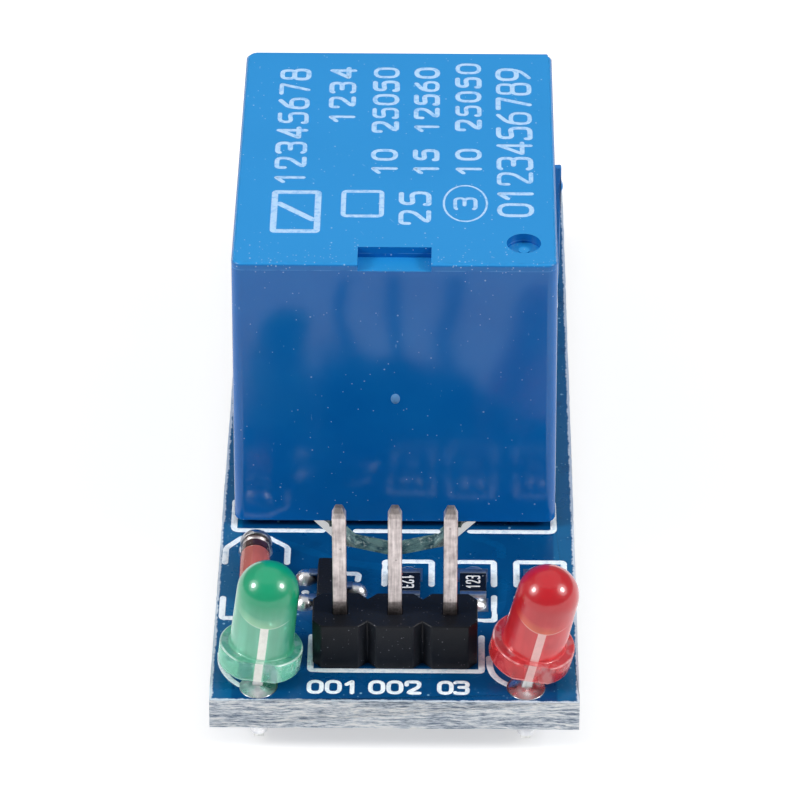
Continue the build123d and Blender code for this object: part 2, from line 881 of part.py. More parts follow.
def return_spring():
    """The leaf down the yoke's back; its bend over the hinge pushes the armature up."""
    outer = yoke_back - blade_thickness
    top = blade_z
    turn = top - spring_bend
    middle = yoke_back + spring_bend
    inner, wide = spring_bend, spring_bend + blade_thickness
    slant = cos(pi / 4)
    profile = make_face(Curve() + [
        Polyline((0, middle, top + blade_thickness), (0, middle, top)),
        ThreePointArc((0, middle, top), (0, middle - inner * slant, turn + inner * slant),
                      (0, yoke_back, turn)),
        Polyline((0, yoke_back, turn), (0, yoke_back, turn - spring_drop),
                 (0, outer, turn - spring_drop), (0, outer, turn)),
        ThreePointArc((0, outer, turn), (0, middle - wide * slant, turn + wide * slant),
                      (0, middle, top + blade_thickness)),
    ])
    return extrude(profile, amount=spring_width / 2, dir=(1, 0, 0), both=True)


def common_terminal():
    """The flat terminal riveted to the yoke's back, with one pin down through the board."""
    depth = around(common_y, strip_thickness)
    plate = block(around(0, common_width), depth, (base_top, base_top + common_rise))
    plate += block(around(0, strip_pin_width), depth, (tails, base_top))
    for head in back_rivets():
        plate += head
    return plate


def contact_strip(side, top):
    """A strip that stands on its pin and bends in over the middle."""
    depth = around(contact_y, contact_strip_width)
    thick = around(side * strip_x, strip_thickness)
    strip = block(thick, around(contact_y, strip_pin_width), (tails, base_top))
    strip += block(thick, depth, (base_top, top))
    edge, past = side * (strip_x + strip_thickness / 2), -side * contact_strip_past
    strip += block(sorted((edge, past)), depth, (top - strip_thickness, top))
    return strip


def open_contact():
    return contact_strip(-1, open_contact_z)


def closed_contact():
    return contact_strip(1, closed_contact_z + strip_thickness)


def fixed_contacts():
    """The contact buttons on the two strips, above and below the moving one."""
    lower = rod(0, contact_y, button_radius, open_contact_z, open_contact_z + button_height)
    upper = rod(0, contact_y, button_radius, closed_contact_z - button_height, closed_contact_z)
    return [lower, upper]


# Screw terminals

def dovetail(clearance):
    """The rib that joins one block to the next, or with clearance the groove that takes it."""
    back = -terminal_depth / 2 + rib_inset + rib_flare
    low, high = back - clearance, back + rib_width + clearance
    reach = rib_reach + clearance
    points = [(0, low), (reach, low - rib_flare), (reach, high + rib_flare), (0, high)]
    return extrude(make_face(Polyline(*points, close=True)), amount=rib_height + clearance)


def bead():
    """The small catch near the top of the rib."""
    y = -terminal_depth / 2 + rib_inset + rib_flare + rib_width / 2
    x = terminal_width / 2 + rib_reach + bead_proud - bead_radius
    z = rib_height - bead_drop
    return Pos(x, y, z) * Rot(90, 0, 0) * Cylinder(bead_radius, rib_width)


def pole_cuts(x):
    """What is hollow in one pole: chamber, screw hole, well and wire entry."""
    chamber = block(around(x, chamber_width), around(chamber_y, chamber_depth), (0, chamber_top))
    hole = rod(x, chamber_y + cage_y, screw_radius + screw_hole_clearance, chamber_top, ledge_top)
    well = rod(x, chamber_y + cage_y, screw_head_radius + well_clearance, ledge_top, terminal_height + past)
    centre = (x, chamber_y + chamber_depth / 2, cage_inside + cage_space / 2)
    face = Plane(centre, x_dir=(1, 0, 0), z_dir=(0, 1, 0))
    entry = extrude(face * Rectangle(entry_width, cage_space), amount=front_wall, taper=-entry_flare)
    return [chamber, hole, well, entry]


def terminal_housing():
    """The moulded block with a chamber for each pole and a rib on one side."""
    housing = block(around(0, terminal_width), around(0, terminal_depth), (0, terminal_height))
    edge = housing.edges().filter_by(Axis.X).sort_by(Axis.Z)[-2:].sort_by(Axis.Y)[-1]
    housing = chamfer(edge, terminal_chamfer)
    housing += Pos(terminal_width / 2, 0, 0) * dovetail(0)
    housing += bead()
    housing -= Pos(-terminal_width / 2, 0, 0) * dovetail(rib_clearance)
    for x in centres(terminal_poles - 1, terminal_pitch):
        groove = Pos(x, terminal_depth / 2, terminal_height / 2) * Rot(0, 0, 45)
        housing -= groove * Box(pole_groove, pole_groove, 2 * terminal_height)
    for x in centres(terminal_poles, terminal_pitch):
        for cut in pole_cuts(x):
            housing -= cut
    return housing


def clamp_cage(x):
    """The metal frame that rises when the screw turns and lifts the wire to the contact."""
    y = around(chamber_y + cage_y, cage_depth)
    cage = block(around(x, cage_width), y, (cage_bottom, cage_top))
    cage -= block(around(x, cage_width - 2 * cage_wall), y, (cage_inside, cage_roof_z))
    cage -= rod(x, chamber_y + cage_y, screw_radius + screw_clearance, cage_roof_z, cage_top)
    return cage


def clamp_screw(x):
    """A pan-headed screw with a slot, held under the rim of its well."""
    head_top = ledge_top + screw_head_height
    tip = cage_roof_z + cage_rest_gap
    shank = rod(0, 0, screw_radius, tip, ledge_top)
    head = rod(0, 0, screw_head_radius, ledge_top, head_top)
    head = chamfer(head.faces().sort_by(Axis.Z)[-1].edges(), screw_head_chamfer)
    slot = block(around(0, 2 * screw_head_radius), around(0, screw_slot_width),
                 (head_top - screw_slot_depth, head_top))
    return Pos(x, chamber_y + cage_y, 0) * (shank + head - slot)


def clamp_contact(x):
    """A folded strip: tongue through the cage, back, foot plate and solder pin."""
    back = chamber_y - chamber_depth / 2
    front = chamber_y + chamber_depth / 2
    contact = block(around(x, chamber_width), (back, back + plate_thickness), (foot_plate_lift, tongue_z))
    contact += block(around(x, chamber_width), (back, front), (foot_plate_lift, foot_plate_top))
    contact += block(around(x, tongue_width), (back, front - cage_end_gap),
                     (tongue_z, tongue_z + plate_thickness))
    contact += block(around(x, strip_pin_width), around(chamber_y, terminal_pin), (tails, foot_plate_lift))
    return contact


# The whole part, one entry for each node

def board_nodes():
    lamp_parts = lamp("green_led") | lamp("red_led")
    leads = [lamp_parts[name + end] for name in lamps for end in ("_cathode", "_anode")]
    relay_order = [common_terminal()] + coil_pins() + [open_contact(), closed_contact()]
    relay_cut = [relay_seat * pin for pin in relay_order]
    contacts = [terminal_seat * clamp_contact(x) for x in centres(terminal_poles, terminal_pitch)]
    nodes = {
        "circuit_board": circuit_board(),
        "header_housing": header_housing(),
        "header_solder": solder_joints(header_places(), square_hole, header_pins()),
        "led_solder": solder_joints(lamp_places(), lead_hole, leads, lamp_joint_rise),
        "relay_solder": solder_joints(relay_places(), strip_hole, relay_cut),
        "terminal_solder": solder_joints(terminal_places(), strip_hole, contacts),
        "surface_solder": surface_solder(),
        "diode_glass": diode_seat() * diode_glass(),
        "diode_chip": diode_seat() * diode_chip(),
        "transistor_body": transistor_seat() * transistor_body(),
        "transistor_legs": group([transistor_seat() * leg for leg in transistor_legs()]),
    }
    nodes |= lamp_parts
    for index, pin in enumerate(header_pins(), 1):
        nodes[f"header_pin_{index}"] = pin
    for end, stud in zip(("cathode", "anode"), diode_studs()):
        nodes[f"diode_{end}_stud"] = diode_seat() * stud
    for index, seat in enumerate(resistor_seats(), 1):
        nodes[f"resistor_{index}_body"] = seat * resistor_body()
        nodes[f"resistor_{index}_caps"] = group([seat * cap for cap in resistor_caps()])
    return nodes


def relay_nodes():
    left_pin, right_pin = coil_pins()
    nodes = {
        "relay_cover": relay_cover(),
        "relay_base": relay_base(),
        "relay_resin": sealing_resin(),
        "relay_bobbin": relay_bobbin(),
        "relay_winding": relay_winding(),
        "relay_core": relay_core(),
        "relay_yoke": relay_yoke(),
        "relay_armature": armature(),
        "relay_contact_blade": contact_blade(),
        "relay_moving_contact": moving_contact(),
        "relay_return_spring": return_spring(),
        "relay_common_terminal": common_terminal(),
        "relay_open_strip": open_contact(),
        "relay_closed_strip": closed_contact(),
        "relay_coil_pin_left": left_pin,
        "relay_coil_pin_right": right_pin,
    }
    nodes = {name: relay_seat * solid for name, solid in nodes.items()}
    nodes["relay_fixed_contacts"] = group([relay_seat * button for button in fixed_contacts()])
    return nodes


def terminal_nodes():
    nodes = {"terminal_housing": terminal_seat * terminal_housing()}
    for index, x in enumerate(centres(terminal_poles, terminal_pitch), 1):
        nodes[f"clamp_screw_{index}"] = terminal_seat * clamp_screw(x)
        nodes[f"clamp_cage_{index}"] = terminal_seat * clamp_cage(x)
        nodes[f"clamp_contact_{index}"] = terminal_seat * clamp_contact(x)
    return nodes


os.makedirs("parts", exist_ok=True)
for name, solid in (board_nodes() | relay_nodes() | terminal_nodes()).items():
    export_step(solid, f"parts/{name}.step")
print("board", round(board_width, 3), "x", round(board_length, 3), "relay height", round(relay_height, 3),
      "terminal", round(terminal_width, 3), round(terminal_depth, 3), round(terminal_height, 3))
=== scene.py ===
import json
import logging
import math
import random
from dataclasses import dataclass
from enum import Enum
from typing import Iterable, Sequence

import bmesh
import bpy
from mathutils import Matrix, Vector


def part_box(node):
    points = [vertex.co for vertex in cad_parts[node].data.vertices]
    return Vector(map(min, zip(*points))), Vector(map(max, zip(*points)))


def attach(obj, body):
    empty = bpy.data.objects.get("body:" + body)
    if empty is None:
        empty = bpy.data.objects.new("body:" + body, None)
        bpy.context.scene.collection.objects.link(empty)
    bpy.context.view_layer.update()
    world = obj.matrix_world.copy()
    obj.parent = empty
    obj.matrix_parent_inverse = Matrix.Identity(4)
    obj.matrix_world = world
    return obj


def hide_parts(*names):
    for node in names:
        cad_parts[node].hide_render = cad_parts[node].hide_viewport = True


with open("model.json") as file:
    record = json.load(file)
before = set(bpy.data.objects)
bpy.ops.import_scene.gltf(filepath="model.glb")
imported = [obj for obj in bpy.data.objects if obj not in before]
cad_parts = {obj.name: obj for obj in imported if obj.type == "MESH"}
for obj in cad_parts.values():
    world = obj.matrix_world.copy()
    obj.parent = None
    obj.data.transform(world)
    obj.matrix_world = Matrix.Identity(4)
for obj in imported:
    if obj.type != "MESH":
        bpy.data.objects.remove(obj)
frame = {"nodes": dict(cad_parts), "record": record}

log = logging.getLogger("relay_module")

MM = 0.001
PER_METRE = 1000.0
BOARD = "board"
BODY_OF = {node: body for body, nodes in frame["record"]["behaviour"]["bodies"].items() for node in nodes}
SLOT_OF = {row["node"]: row["material_slot"] for row in frame["record"]["subparts"]}
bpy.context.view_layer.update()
BOARD_TOP = 3.1  # the board's upper face, in millimetres
WELD = 0.0005  # how near two vertices are that are merged into one
NEAR = 0.01  # how near a plane a vertex is that counts as on it

Color = tuple[float, float, float]
Point = tuple[float, float]
Socket = bpy.types.NodeSocket
Mesh = bmesh.types.BMesh


def shade(red: int, green: int, blue: int) -> Color:
    """Turn a colour as a screen shows it, 0 to 255, into linear light.

    Args:
        red: The red value.
        green: The green value.
        blue: The blue value.

    Returns:
        The three linear values.
    """
    def linear(value: int) -> float:
        """One channel in linear light."""
        part = value / 255
        return part / 12.92 if part <= 0.04045 else ((part + 0.055) / 1.055) ** 2.4

    return linear(red), linear(green), linear(blue)


def toned(color: Color, factor: float, more: float = 0.0) -> Color:
    """A colour times a factor, raised by an amount and held at 1."""
    return tuple(min(1.0, channel * factor + more) for channel in color)


def corners(node: str) -> tuple[Vector, Vector]:
    """The lowest and highest corner of a CAD node, in millimetres."""
    low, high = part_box(node)
    return low * PER_METRE, high * PER_METRE


class Graph:
    """The shader nodes of one material, laid on object coordinates in millimetres."""

    def __init__(self, name: str) -> None:
        """Start an empty material of that name."""
        self.material = bpy.data.materials.new(name)
        self.material.use_nodes = True
        self.tree = self.material.node_tree
        self.tree.nodes.clear()
        source = self.add("ShaderNodeTexCoord", {})
        inputs = {"Vector": source.outputs["Object"], "Scale": (PER_METRE,) * 3}
        self.place = self.add("ShaderNodeMapping", inputs).outputs[0]
        self.facing = source.outputs["Normal"]

    def add(self, kind: str, inputs: dict, **settings: object) -> bpy.types.Node:
        """Add a node.

        Args:
            kind: The node's type.
            inputs: A socket to link, or a value to set, for each input named or numbered.
            settings: The node's own properties.

        Returns:
            The node.
        """
        node = self.tree.nodes.new(kind)
        for key, value in settings.items():
            setattr(node, key, value)
        for key, value in inputs.items():
            if isinstance(value, Socket):
                self.tree.links.new(value, node.inputs[key])
            else:
                node.inputs[key].default_value = value
        return node

    def local(self, origin: Sequence[float], turn: Sequence[float] = (0, 0, 0)) -> Socket:
        """Coordinates in millimetres from an origin, in a frame turned by these radians."""
        inputs = {"Vector": self.place, "Location": tuple(origin), "Rotation": tuple(turn)}
        return self.add("ShaderNodeMapping", inputs, vector_type="TEXTURE").outputs[0]

    def stretched(self, scale: Sequence[float], place: Socket = None) -> Socket:
        """Coordinates scaled along each axis, for grain that runs one way."""
        inputs = {"Vector": place or self.place, "Scale": tuple(scale)}
        return self.add("ShaderNodeMapping", inputs).outputs[0]

    def axis(self, letter: str, place: Socket = None) -> Socket:
        """One coordinate, in millimetres."""
        return self.add("ShaderNodeSeparateXYZ", {"Vector": place or self.place}).outputs[letter]

    def noise(self, scale: float, detail: float = 3.0, roughness: float = 0.55,
              place: Socket = None) -> Socket:
        """Cloudy noise from 0 to 1, with that many waves to a millimetre."""
        inputs = {"Vector": place or self.place, "Scale": scale, "Detail": detail, "Roughness": roughness}
        return self.add("ShaderNodeTexNoise", inputs).outputs["Fac"]

    def specks(self, scale: float, size: float, share: object, place: Socket = None) -> Socket:
        """Scattered small dots.

        Args:
            scale: Cells to a millimetre.
            size: A dot's radius in cells.
            share: The share of the cells that hold a dot.
            place: The coordinates, if not the plain ones.

        Returns:
            1 on a dot and 0 off it.
        """
        cells = self.add("ShaderNodeTexVoronoi", {"Vector": place or self.place, "Scale": scale})
        dot = self.span(cells.outputs["Distance"], size, size * 0.6)
        pick = self.add("ShaderNodeSeparateColor", {"Color": cells.outputs["Color"]}).outputs[0]
        return self.times(dot, self.calc("LESS_THAN", pick, share))

    def calc(self, operation: str, first: object, second: object = 0.0) -> Socket:
        """One sum on sockets or numbers."""
        return self.add("ShaderNodeMath", {0: first, 1: second}, operation=operation).outputs[0]

    def times(self, first: object, second: object) -> Socket:
        """The product of two values."""
        return self.calc("MULTIPLY", first, second)

    def plus(self, first: object, second: object) -> Socket:
        """The sum of two values."""
        return self.calc("ADD", first, second)

    def minus(self, first: object, second: object) -> Socket:
        """The first value less the second."""
        return self.calc("SUBTRACT", first, second)

    def size(self, value: object) -> Socket:
        """A value without its sign."""
        return self.calc("ABSOLUTE", value)

    def span(self, value: object, low: float, high: float) -> Socket:
        """How far a value has gone from low to high, held between 0 and 1."""
        inputs = {"Value": value, "From Min": low, "From Max": high}
        return self.add("ShaderNodeMapRange", inputs, clamp=True).outputs[0]

    def between(self, value: object, low: float, high: float, soft: float) -> Socket:
        """1 where a value lies between low and high, with edges that soft."""
        rise = self.span(value, low - soft, low + soft)
        fall = self.span(value, high + soft, high - soft)
        return self.times(rise, fall)

    def number(self, share: object, low: float, high: float) -> Socket:
        """A number that goes from low to high as the share goes from 0 to 1."""
        inputs = {"Value": share, "To Min": low, "To Max": high}
        return self.add("ShaderNodeMapRange", inputs, clamp=True).outputs[0]

    def blend(self, share: object, first: object, second: object) -> Socket:
        """A colour between two, each a linear colour or a socket."""
        sockets = [c if isinstance(c, Socket) else (*c, 1.0) for c in (first, second)]
        inputs = {0: share, 6: sockets[0], 7: sockets[1]}
        return self.add("ShaderNodeMix", inputs, data_type="RGBA").outputs[2]

    def over(self, tint: object, mask: object, strength: object, color: object) -> Socket:
        """A colour with another laid over it where a mask is 1, no stronger than this."""
        return self.blend(self.times(mask, strength), tint, color)

    def bump(self, height: Socket, distance: float, strength: float = 1.0,
             below: Socket = None) -> Socket:
        """A normal tilted by a height map whose full range is that many millimetres."""
        inputs = {"Height": height, "Distance": distance * MM, "Strength": strength}
        if below is not None:
            inputs["Normal"] = below
        return self.add("ShaderNodeBump", inputs).outputs[0]

    def surface(self, inputs: dict) -> Socket:
        """A Principled surface with these inputs; plain colours are given their alpha."""
        full = {k: (*v, 1.0) if isinstance(v, tuple) and len(v) == 3 else v for k, v in inputs.items()}
        return self.add("ShaderNodeBsdfPrincipled", full).outputs[0]

    def mixed(self, share: object, first: Socket, second: Socket) -> Socket:
        """A mixture of two shaders."""
        return self.add("ShaderNodeMixShader", {0: share, 1: first, 2: second}).outputs[0]

    def glass(self, tint: object, roughness: float) -> Socket:
        """Clear glass that lets the lamps' light pass."""
        inputs = {"Color": tint, "Roughness": roughness, "IOR": 1.5}
        clear = self.add("ShaderNodeBsdfGlass", inputs).outputs[0]
        open_way = self.add("ShaderNodeBsdfTransparent", {"Color": tint}).outputs[0]
        shadow = self.add("ShaderNodeLightPath", {}).outputs["Is Shadow Ray"]
        return self.mixed(shadow, clear, open_way)

    def opaque(self, tint: object, rough: object, normal: Socket, shine: float = 0.5) -> bpy.types.Material:
        """The material of one plain Principled surface."""
        inputs = {"Base Color": tint, "Roughness": rough, "Specular IOR Level": shine, "Normal": normal}
        return self.done(self.surface(inputs))

    def done(self, shader: Socket) -> bpy.types.Material:
        """Link the shader to the output and return the material."""
        self.add("ShaderNodeOutputMaterial", {"Surface": shader})
        return self.material


@dataclass(frozen=True)
class Moulding:
    """Moulded plastic with a fine grain, dust and light wear."""

    name: str
    color: Color
    roughness: float = 0.35
    grain: float = 0.004
    dust: float = 0.25
    dust_color: Color = (0.62, 0.66, 0.7)
    shine: float = 0.5

    def material(self) -> bpy.types.Material:
        """Build the material."""
        graph = Graph(self.name)
        cloud = graph.noise(0.35, 4)
        darker = toned(self.color, 0.86)
        lighter = toned(self.color, 1.12, 0.002)
        tint = graph.blend(graph.span(cloud, 0.3, 0.7), darker, lighter)
        for scale, size, share in ((3.2, 0.13, self.dust * 0.5), (7.5, 0.2, self.dust * 0.3)):
            tint = graph.over(tint, graph.specks(scale, size, share), 0.55, self.dust_color)
        rough = graph.number(graph.noise(1.3, 3), self.roughness - 0.06, self.roughness + 0.08)
        return graph.opaque(tint, rough, graph.bump(graph.noise(14.0, 2), self.grain), self.shine)


@dataclass(frozen=True)
class Tin:
    """Tinned or bare metal with drawn streaks and dull patches."""

    name: str
    bright: Color
    dull: Color
    roughness: float = 0.28
    streaks: tuple[float, float, float] = (9.0, 9.0, 0.5)
    patch: float = 0.5
    relief: float = 0.006

    def material(self) -> bpy.types.Material:
        """Build the material."""
        graph = Graph(self.name)
        return graph.done(self.metal(graph, 0.0))

    def metal(self, graph: Graph, painted_darkening: object) -> Socket:
        """The metal's shader, its colour painted darker where painted_darkening is above 0."""
        streak = graph.noise(1.0, 4, 0.6, graph.stretched(self.streaks))
        cloud = graph.noise(1.6, 4, 0.6)
        wear = graph.plus(graph.times(streak, 1 - self.patch), graph.times(cloud, self.patch))
        share = graph.span(wear, 0.36, 0.62)
        tint = graph.blend(share, self.dull, self.bright)
        tint = graph.over(tint, graph.specks(2.4, 0.16, 0.16), 0.5, toned(self.dull, 0.35))
        tint = graph.blend(painted_darkening, tint, toned(self.dull, 0.22))
        rough = graph.number(share, self.roughness + 0.14, self.roughness)
        return graph.surface({"Base Color": tint, "Metallic": 1.0, "Roughness": rough,
                              "Normal": graph.bump(wear, self.relief)})


@dataclass(frozen=True)
class PinTin(Tin):
    """A header pin's tin, with a painted dark reflection of the black housing on its foot, and its tip
    painted darker.
    """

    foot: tuple[float, float] = (6.28, 6.36)
    tip: tuple[float, float] = (11.3, 11.38)

    def material(self) -> bpy.types.Material:
        """Build the material."""
        graph = Graph(self.name)
        z = graph.axis("Z")
        # painted reflection: the foot is darkened to stand for the black housing mirrored in the tin
        low = graph.span(z, self.foot[1], self.foot[0])
        # the tip is painted darker
        high = graph.span(z, *self.tip)
        patchy = graph.number(graph.span(graph.noise(2.2, 4, 0.7), 0.35, 0.6), 0.5, 0.85)
        painted_darkening = graph.calc("MAXIMUM", graph.times(low, patchy), graph.times(high, 0.55))
        return graph.done(self.metal(graph, painted_darkening))


@dataclass(frozen=True)
class SolderMask:
    """Blue solder mask: copper fields under it, a chipped pale margin, dust, smears and fine scratches."""

    name: str
    half_width: float
    half_length: float
    copper: Color = shade(0, 66, 117)
    bare: Color = shade(0, 92, 140)
    margin: Color = shade(196, 209, 222)
    copper_half: float = 7.48

    def material(self) -> bpy.types.Material:
        """Build the material."""
        graph = Graph(self.name)
        across = graph.size(graph.axis("X"))
        along = graph.size(graph.axis("Y"))
        strip = graph.span(across, self.copper_half - 0.05, self.copper_half + 0.05)
        tint = graph.blend(strip, self.copper, self.bare)
        cloud = graph.span(graph.noise(0.3, 4), 0.42, 0.68)
        tint = graph.over(tint, cloud, 0.4, shade(0, 84, 138))
        patch = graph.span(graph.noise(0.9, 3, 0.6), 0.56, 0.7)
        tint = graph.over(tint, patch, 0.35, shade(0, 52, 98))
        from_side, from_end = graph.minus(self.half_width, across), graph.minus(self.half_length, along)
        edge = graph.calc("MINIMUM", from_side, from_end)
        near = graph.span(edge, 1.4, 0.1)
        for scale, size, share, strength in ((2.6, 0.2, 0.2, 0.75), (6.0, 0.22, 0.22, 0.55)):
            wanted = graph.times(graph.number(near, 0.25, 1.0), share)
            dots = graph.specks(scale, size, wanted)
            tint = graph.over(tint, dots, strength, shade(142, 190, 218))
        smear = graph.span(graph.noise(1.5, 5, 0.75), 0.6, 0.75)
        tint = graph.over(tint, graph.times(smear, near), 0.5, shade(104, 160, 196))
        for turn in (0.5, -0.9):
            turned = graph.local((0, 0, 0), (0, 0, turn))
            lines = graph.noise(1.0, 2, 0.5, graph.stretched((0.55, 11.0, 1.0), turned))
            tint = graph.over(tint, graph.span(lines, 0.72, 0.77), 0.4, shade(70, 140, 186))
        ragged = graph.times(graph.noise(2.8, 5, 0.75), 0.34)
        chipped = graph.span(graph.minus(edge, ragged), -0.01, -0.07)
        tint = graph.blend(chipped, tint, self.margin)
        rough = graph.plus(graph.number(graph.noise(0.8, 3), 0.22, 0.36), graph.times(chipped, 0.4))
        height = graph.plus(graph.noise(0.5, 3), graph.times(chipped, -0.4))
        return graph.opaque(tint, rough, graph.bump(height, 0.03), 0.35)


@dataclass(frozen=True)
class Laminate:
    """The sawn edge of glass cloth in epoxy: pale layers and dark gaps that run along the edge."""

    name: str
    pale: Color = shade(252, 254, 255)
    middle: Color = shade(206, 215, 226)
    dark: Color = shade(104, 122, 146)

    def material(self) -> bpy.types.Material:
        """Build the material."""
        graph = Graph(self.name)
        sway = graph.times(graph.minus(graph.noise(0.5, 2), 0.5), 0.3)
        lift = graph.add("ShaderNodeCombineXYZ", {"Z": sway}).outputs[0]
        bent = graph.add("ShaderNodeVectorMath", {0: graph.place, 1: lift}, operation="ADD").outputs[0]
        strands = graph.noise(1.0, 6, 0.72, graph.stretched((1.3, 1.3, 10.0), bent))
        layers = graph.noise(1.0, 2, 0.5, graph.stretched((0.3, 0.3, 5.0), bent))
        both = graph.plus(graph.times(strands, 0.75), graph.times(layers, 0.25))
        tint = graph.blend(graph.span(both, 0.4, 0.49), self.dark, self.middle)
        tint = graph.blend(graph.span(both, 0.49, 0.57), tint, self.pale)
        return graph.opaque(tint, 0.6, graph.bump(both, 0.12), 0.3)


@dataclass(frozen=True)
class SlotWall:
    """The routed wall of the slot: greenish glass cloth with painted silvery glints."""

    name: str

    def material(self) -> bpy.types.Material:
        """Build the material."""
        graph = Graph(self.name)
        strands = graph.noise(1.0, 5, 0.7, graph.stretched((1.4, 1.4, 3.0)))
        tint = graph.blend(graph.span(strands, 0.38, 0.58), shade(22, 78, 96), shade(124, 164, 164))
        # painted highlight: silvery glints laid into the colour as pale patches
        painted_glint = graph.span(graph.noise(2.4, 5, 0.7), 0.54, 0.64)
        tint = graph.blend(painted_glint, tint, shade(210, 226, 224))
        return graph.opaque(tint, 0.3, graph.bump(strands, 0.08))


@dataclass(frozen=True)
class Ink:
    """Printed ink, slightly mottled and thin in places."""

    name: str
    color: Color
    thin: Color

    def material(self) -> bpy.types.Material:
        """Build the material."""
        graph = Graph(self.name)
        mottle = graph.span(graph.noise(3.4, 4, 0.7), 0.34, 0.52)
        tint = graph.blend(mottle, self.thin, self.color)
        return graph.opaque(tint, 0.5, graph.bump(graph.noise(9.0, 2), 0.004))


@dataclass(frozen=True)
class CoverPlastic:
    """The relay cover's glossy plastic: satin top, mirror-like sides with a slight warp and painted shade,
    a painted darker band and a painted highlight line at the lip, and pale dust that lies thickest along the
    upper front edge."""

    name: str
    top_z: float
    front_y: float
    color: Color = (0.012, 0.262, 0.64)
    painted_side_shade: Color = (0.001, 0.12, 0.43)
    lip_drop: float = 0.37

    def material(self) -> bpy.types.Material:
        """Build the material."""
        graph = Graph(self.name)
        y, z = graph.axis("Y"), graph.axis("Z")
        # painted shade: faces that turn away from the top are painted darker than the top
        level = graph.span(graph.axis("Z", graph.facing), 0.2, 0.75)
        tint = graph.blend(level, self.painted_side_shade, self.color)
        cloud = graph.span(graph.noise(0.3, 4), 0.3, 0.7)
        tint = graph.over(tint, cloud, 0.1, (0.02, 0.3, 0.7))
        lip = self.top_z - self.lip_drop
        # painted shade: the sides are painted darker above the lip
        band = graph.span(z, lip - 0.01, lip + 0.01)
        tint = graph.over(tint, band, graph.number(level, 0.5, 0.0), (0.004, 0.17, 0.5))
        # painted highlight: a thin light line along the lip, broken here and there
        line = graph.between(z, lip - 0.018, lip + 0.018, 0.012)
        broken = graph.span(graph.noise(1.4, 3, 0.6), 0.38, 0.55)
        tint = graph.over(tint, graph.times(line, broken), 0.4, (0.12, 0.42, 0.8))
        near = graph.span(y, self.front_y + 3.2, self.front_y)
        high = graph.span(z, self.top_z - 0.6, self.top_z - 0.05)
        close = graph.times(graph.times(near, near), high)
        for scale, size, wide, deep in ((3.2, 0.16, 0.5, 0.05), (7.0, 0.24, 0.5, 0.03)):
            wanted = graph.plus(graph.times(close, wide), deep)
            dots = graph.specks(scale, size, wanted)
            tint = graph.over(tint, dots, 0.6, shade(182, 212, 240))
        flaw = graph.noise(1.0, 2, 0.5, graph.stretched((7.0, 1.2, 2.0), graph.local((0, 0, 0), (0, 0, 0.6))))
        tint = graph.over(tint, graph.span(flaw, 0.74, 0.8), 0.35, shade(150, 196, 236))
        smear = graph.span(graph.noise(1.1, 4, 0.7), 0.62, 0.75)
        rough = graph.plus(graph.number(level, 0.13, 0.38), graph.times(smear, 0.12))
        warp = graph.bump(graph.noise(0.12, 1, 0.4), 0.4)
        normal = graph.bump(graph.noise(11.0, 2), 0.002, 1.0, warp)
        return graph.opaque(tint, rough, normal, 0.42)


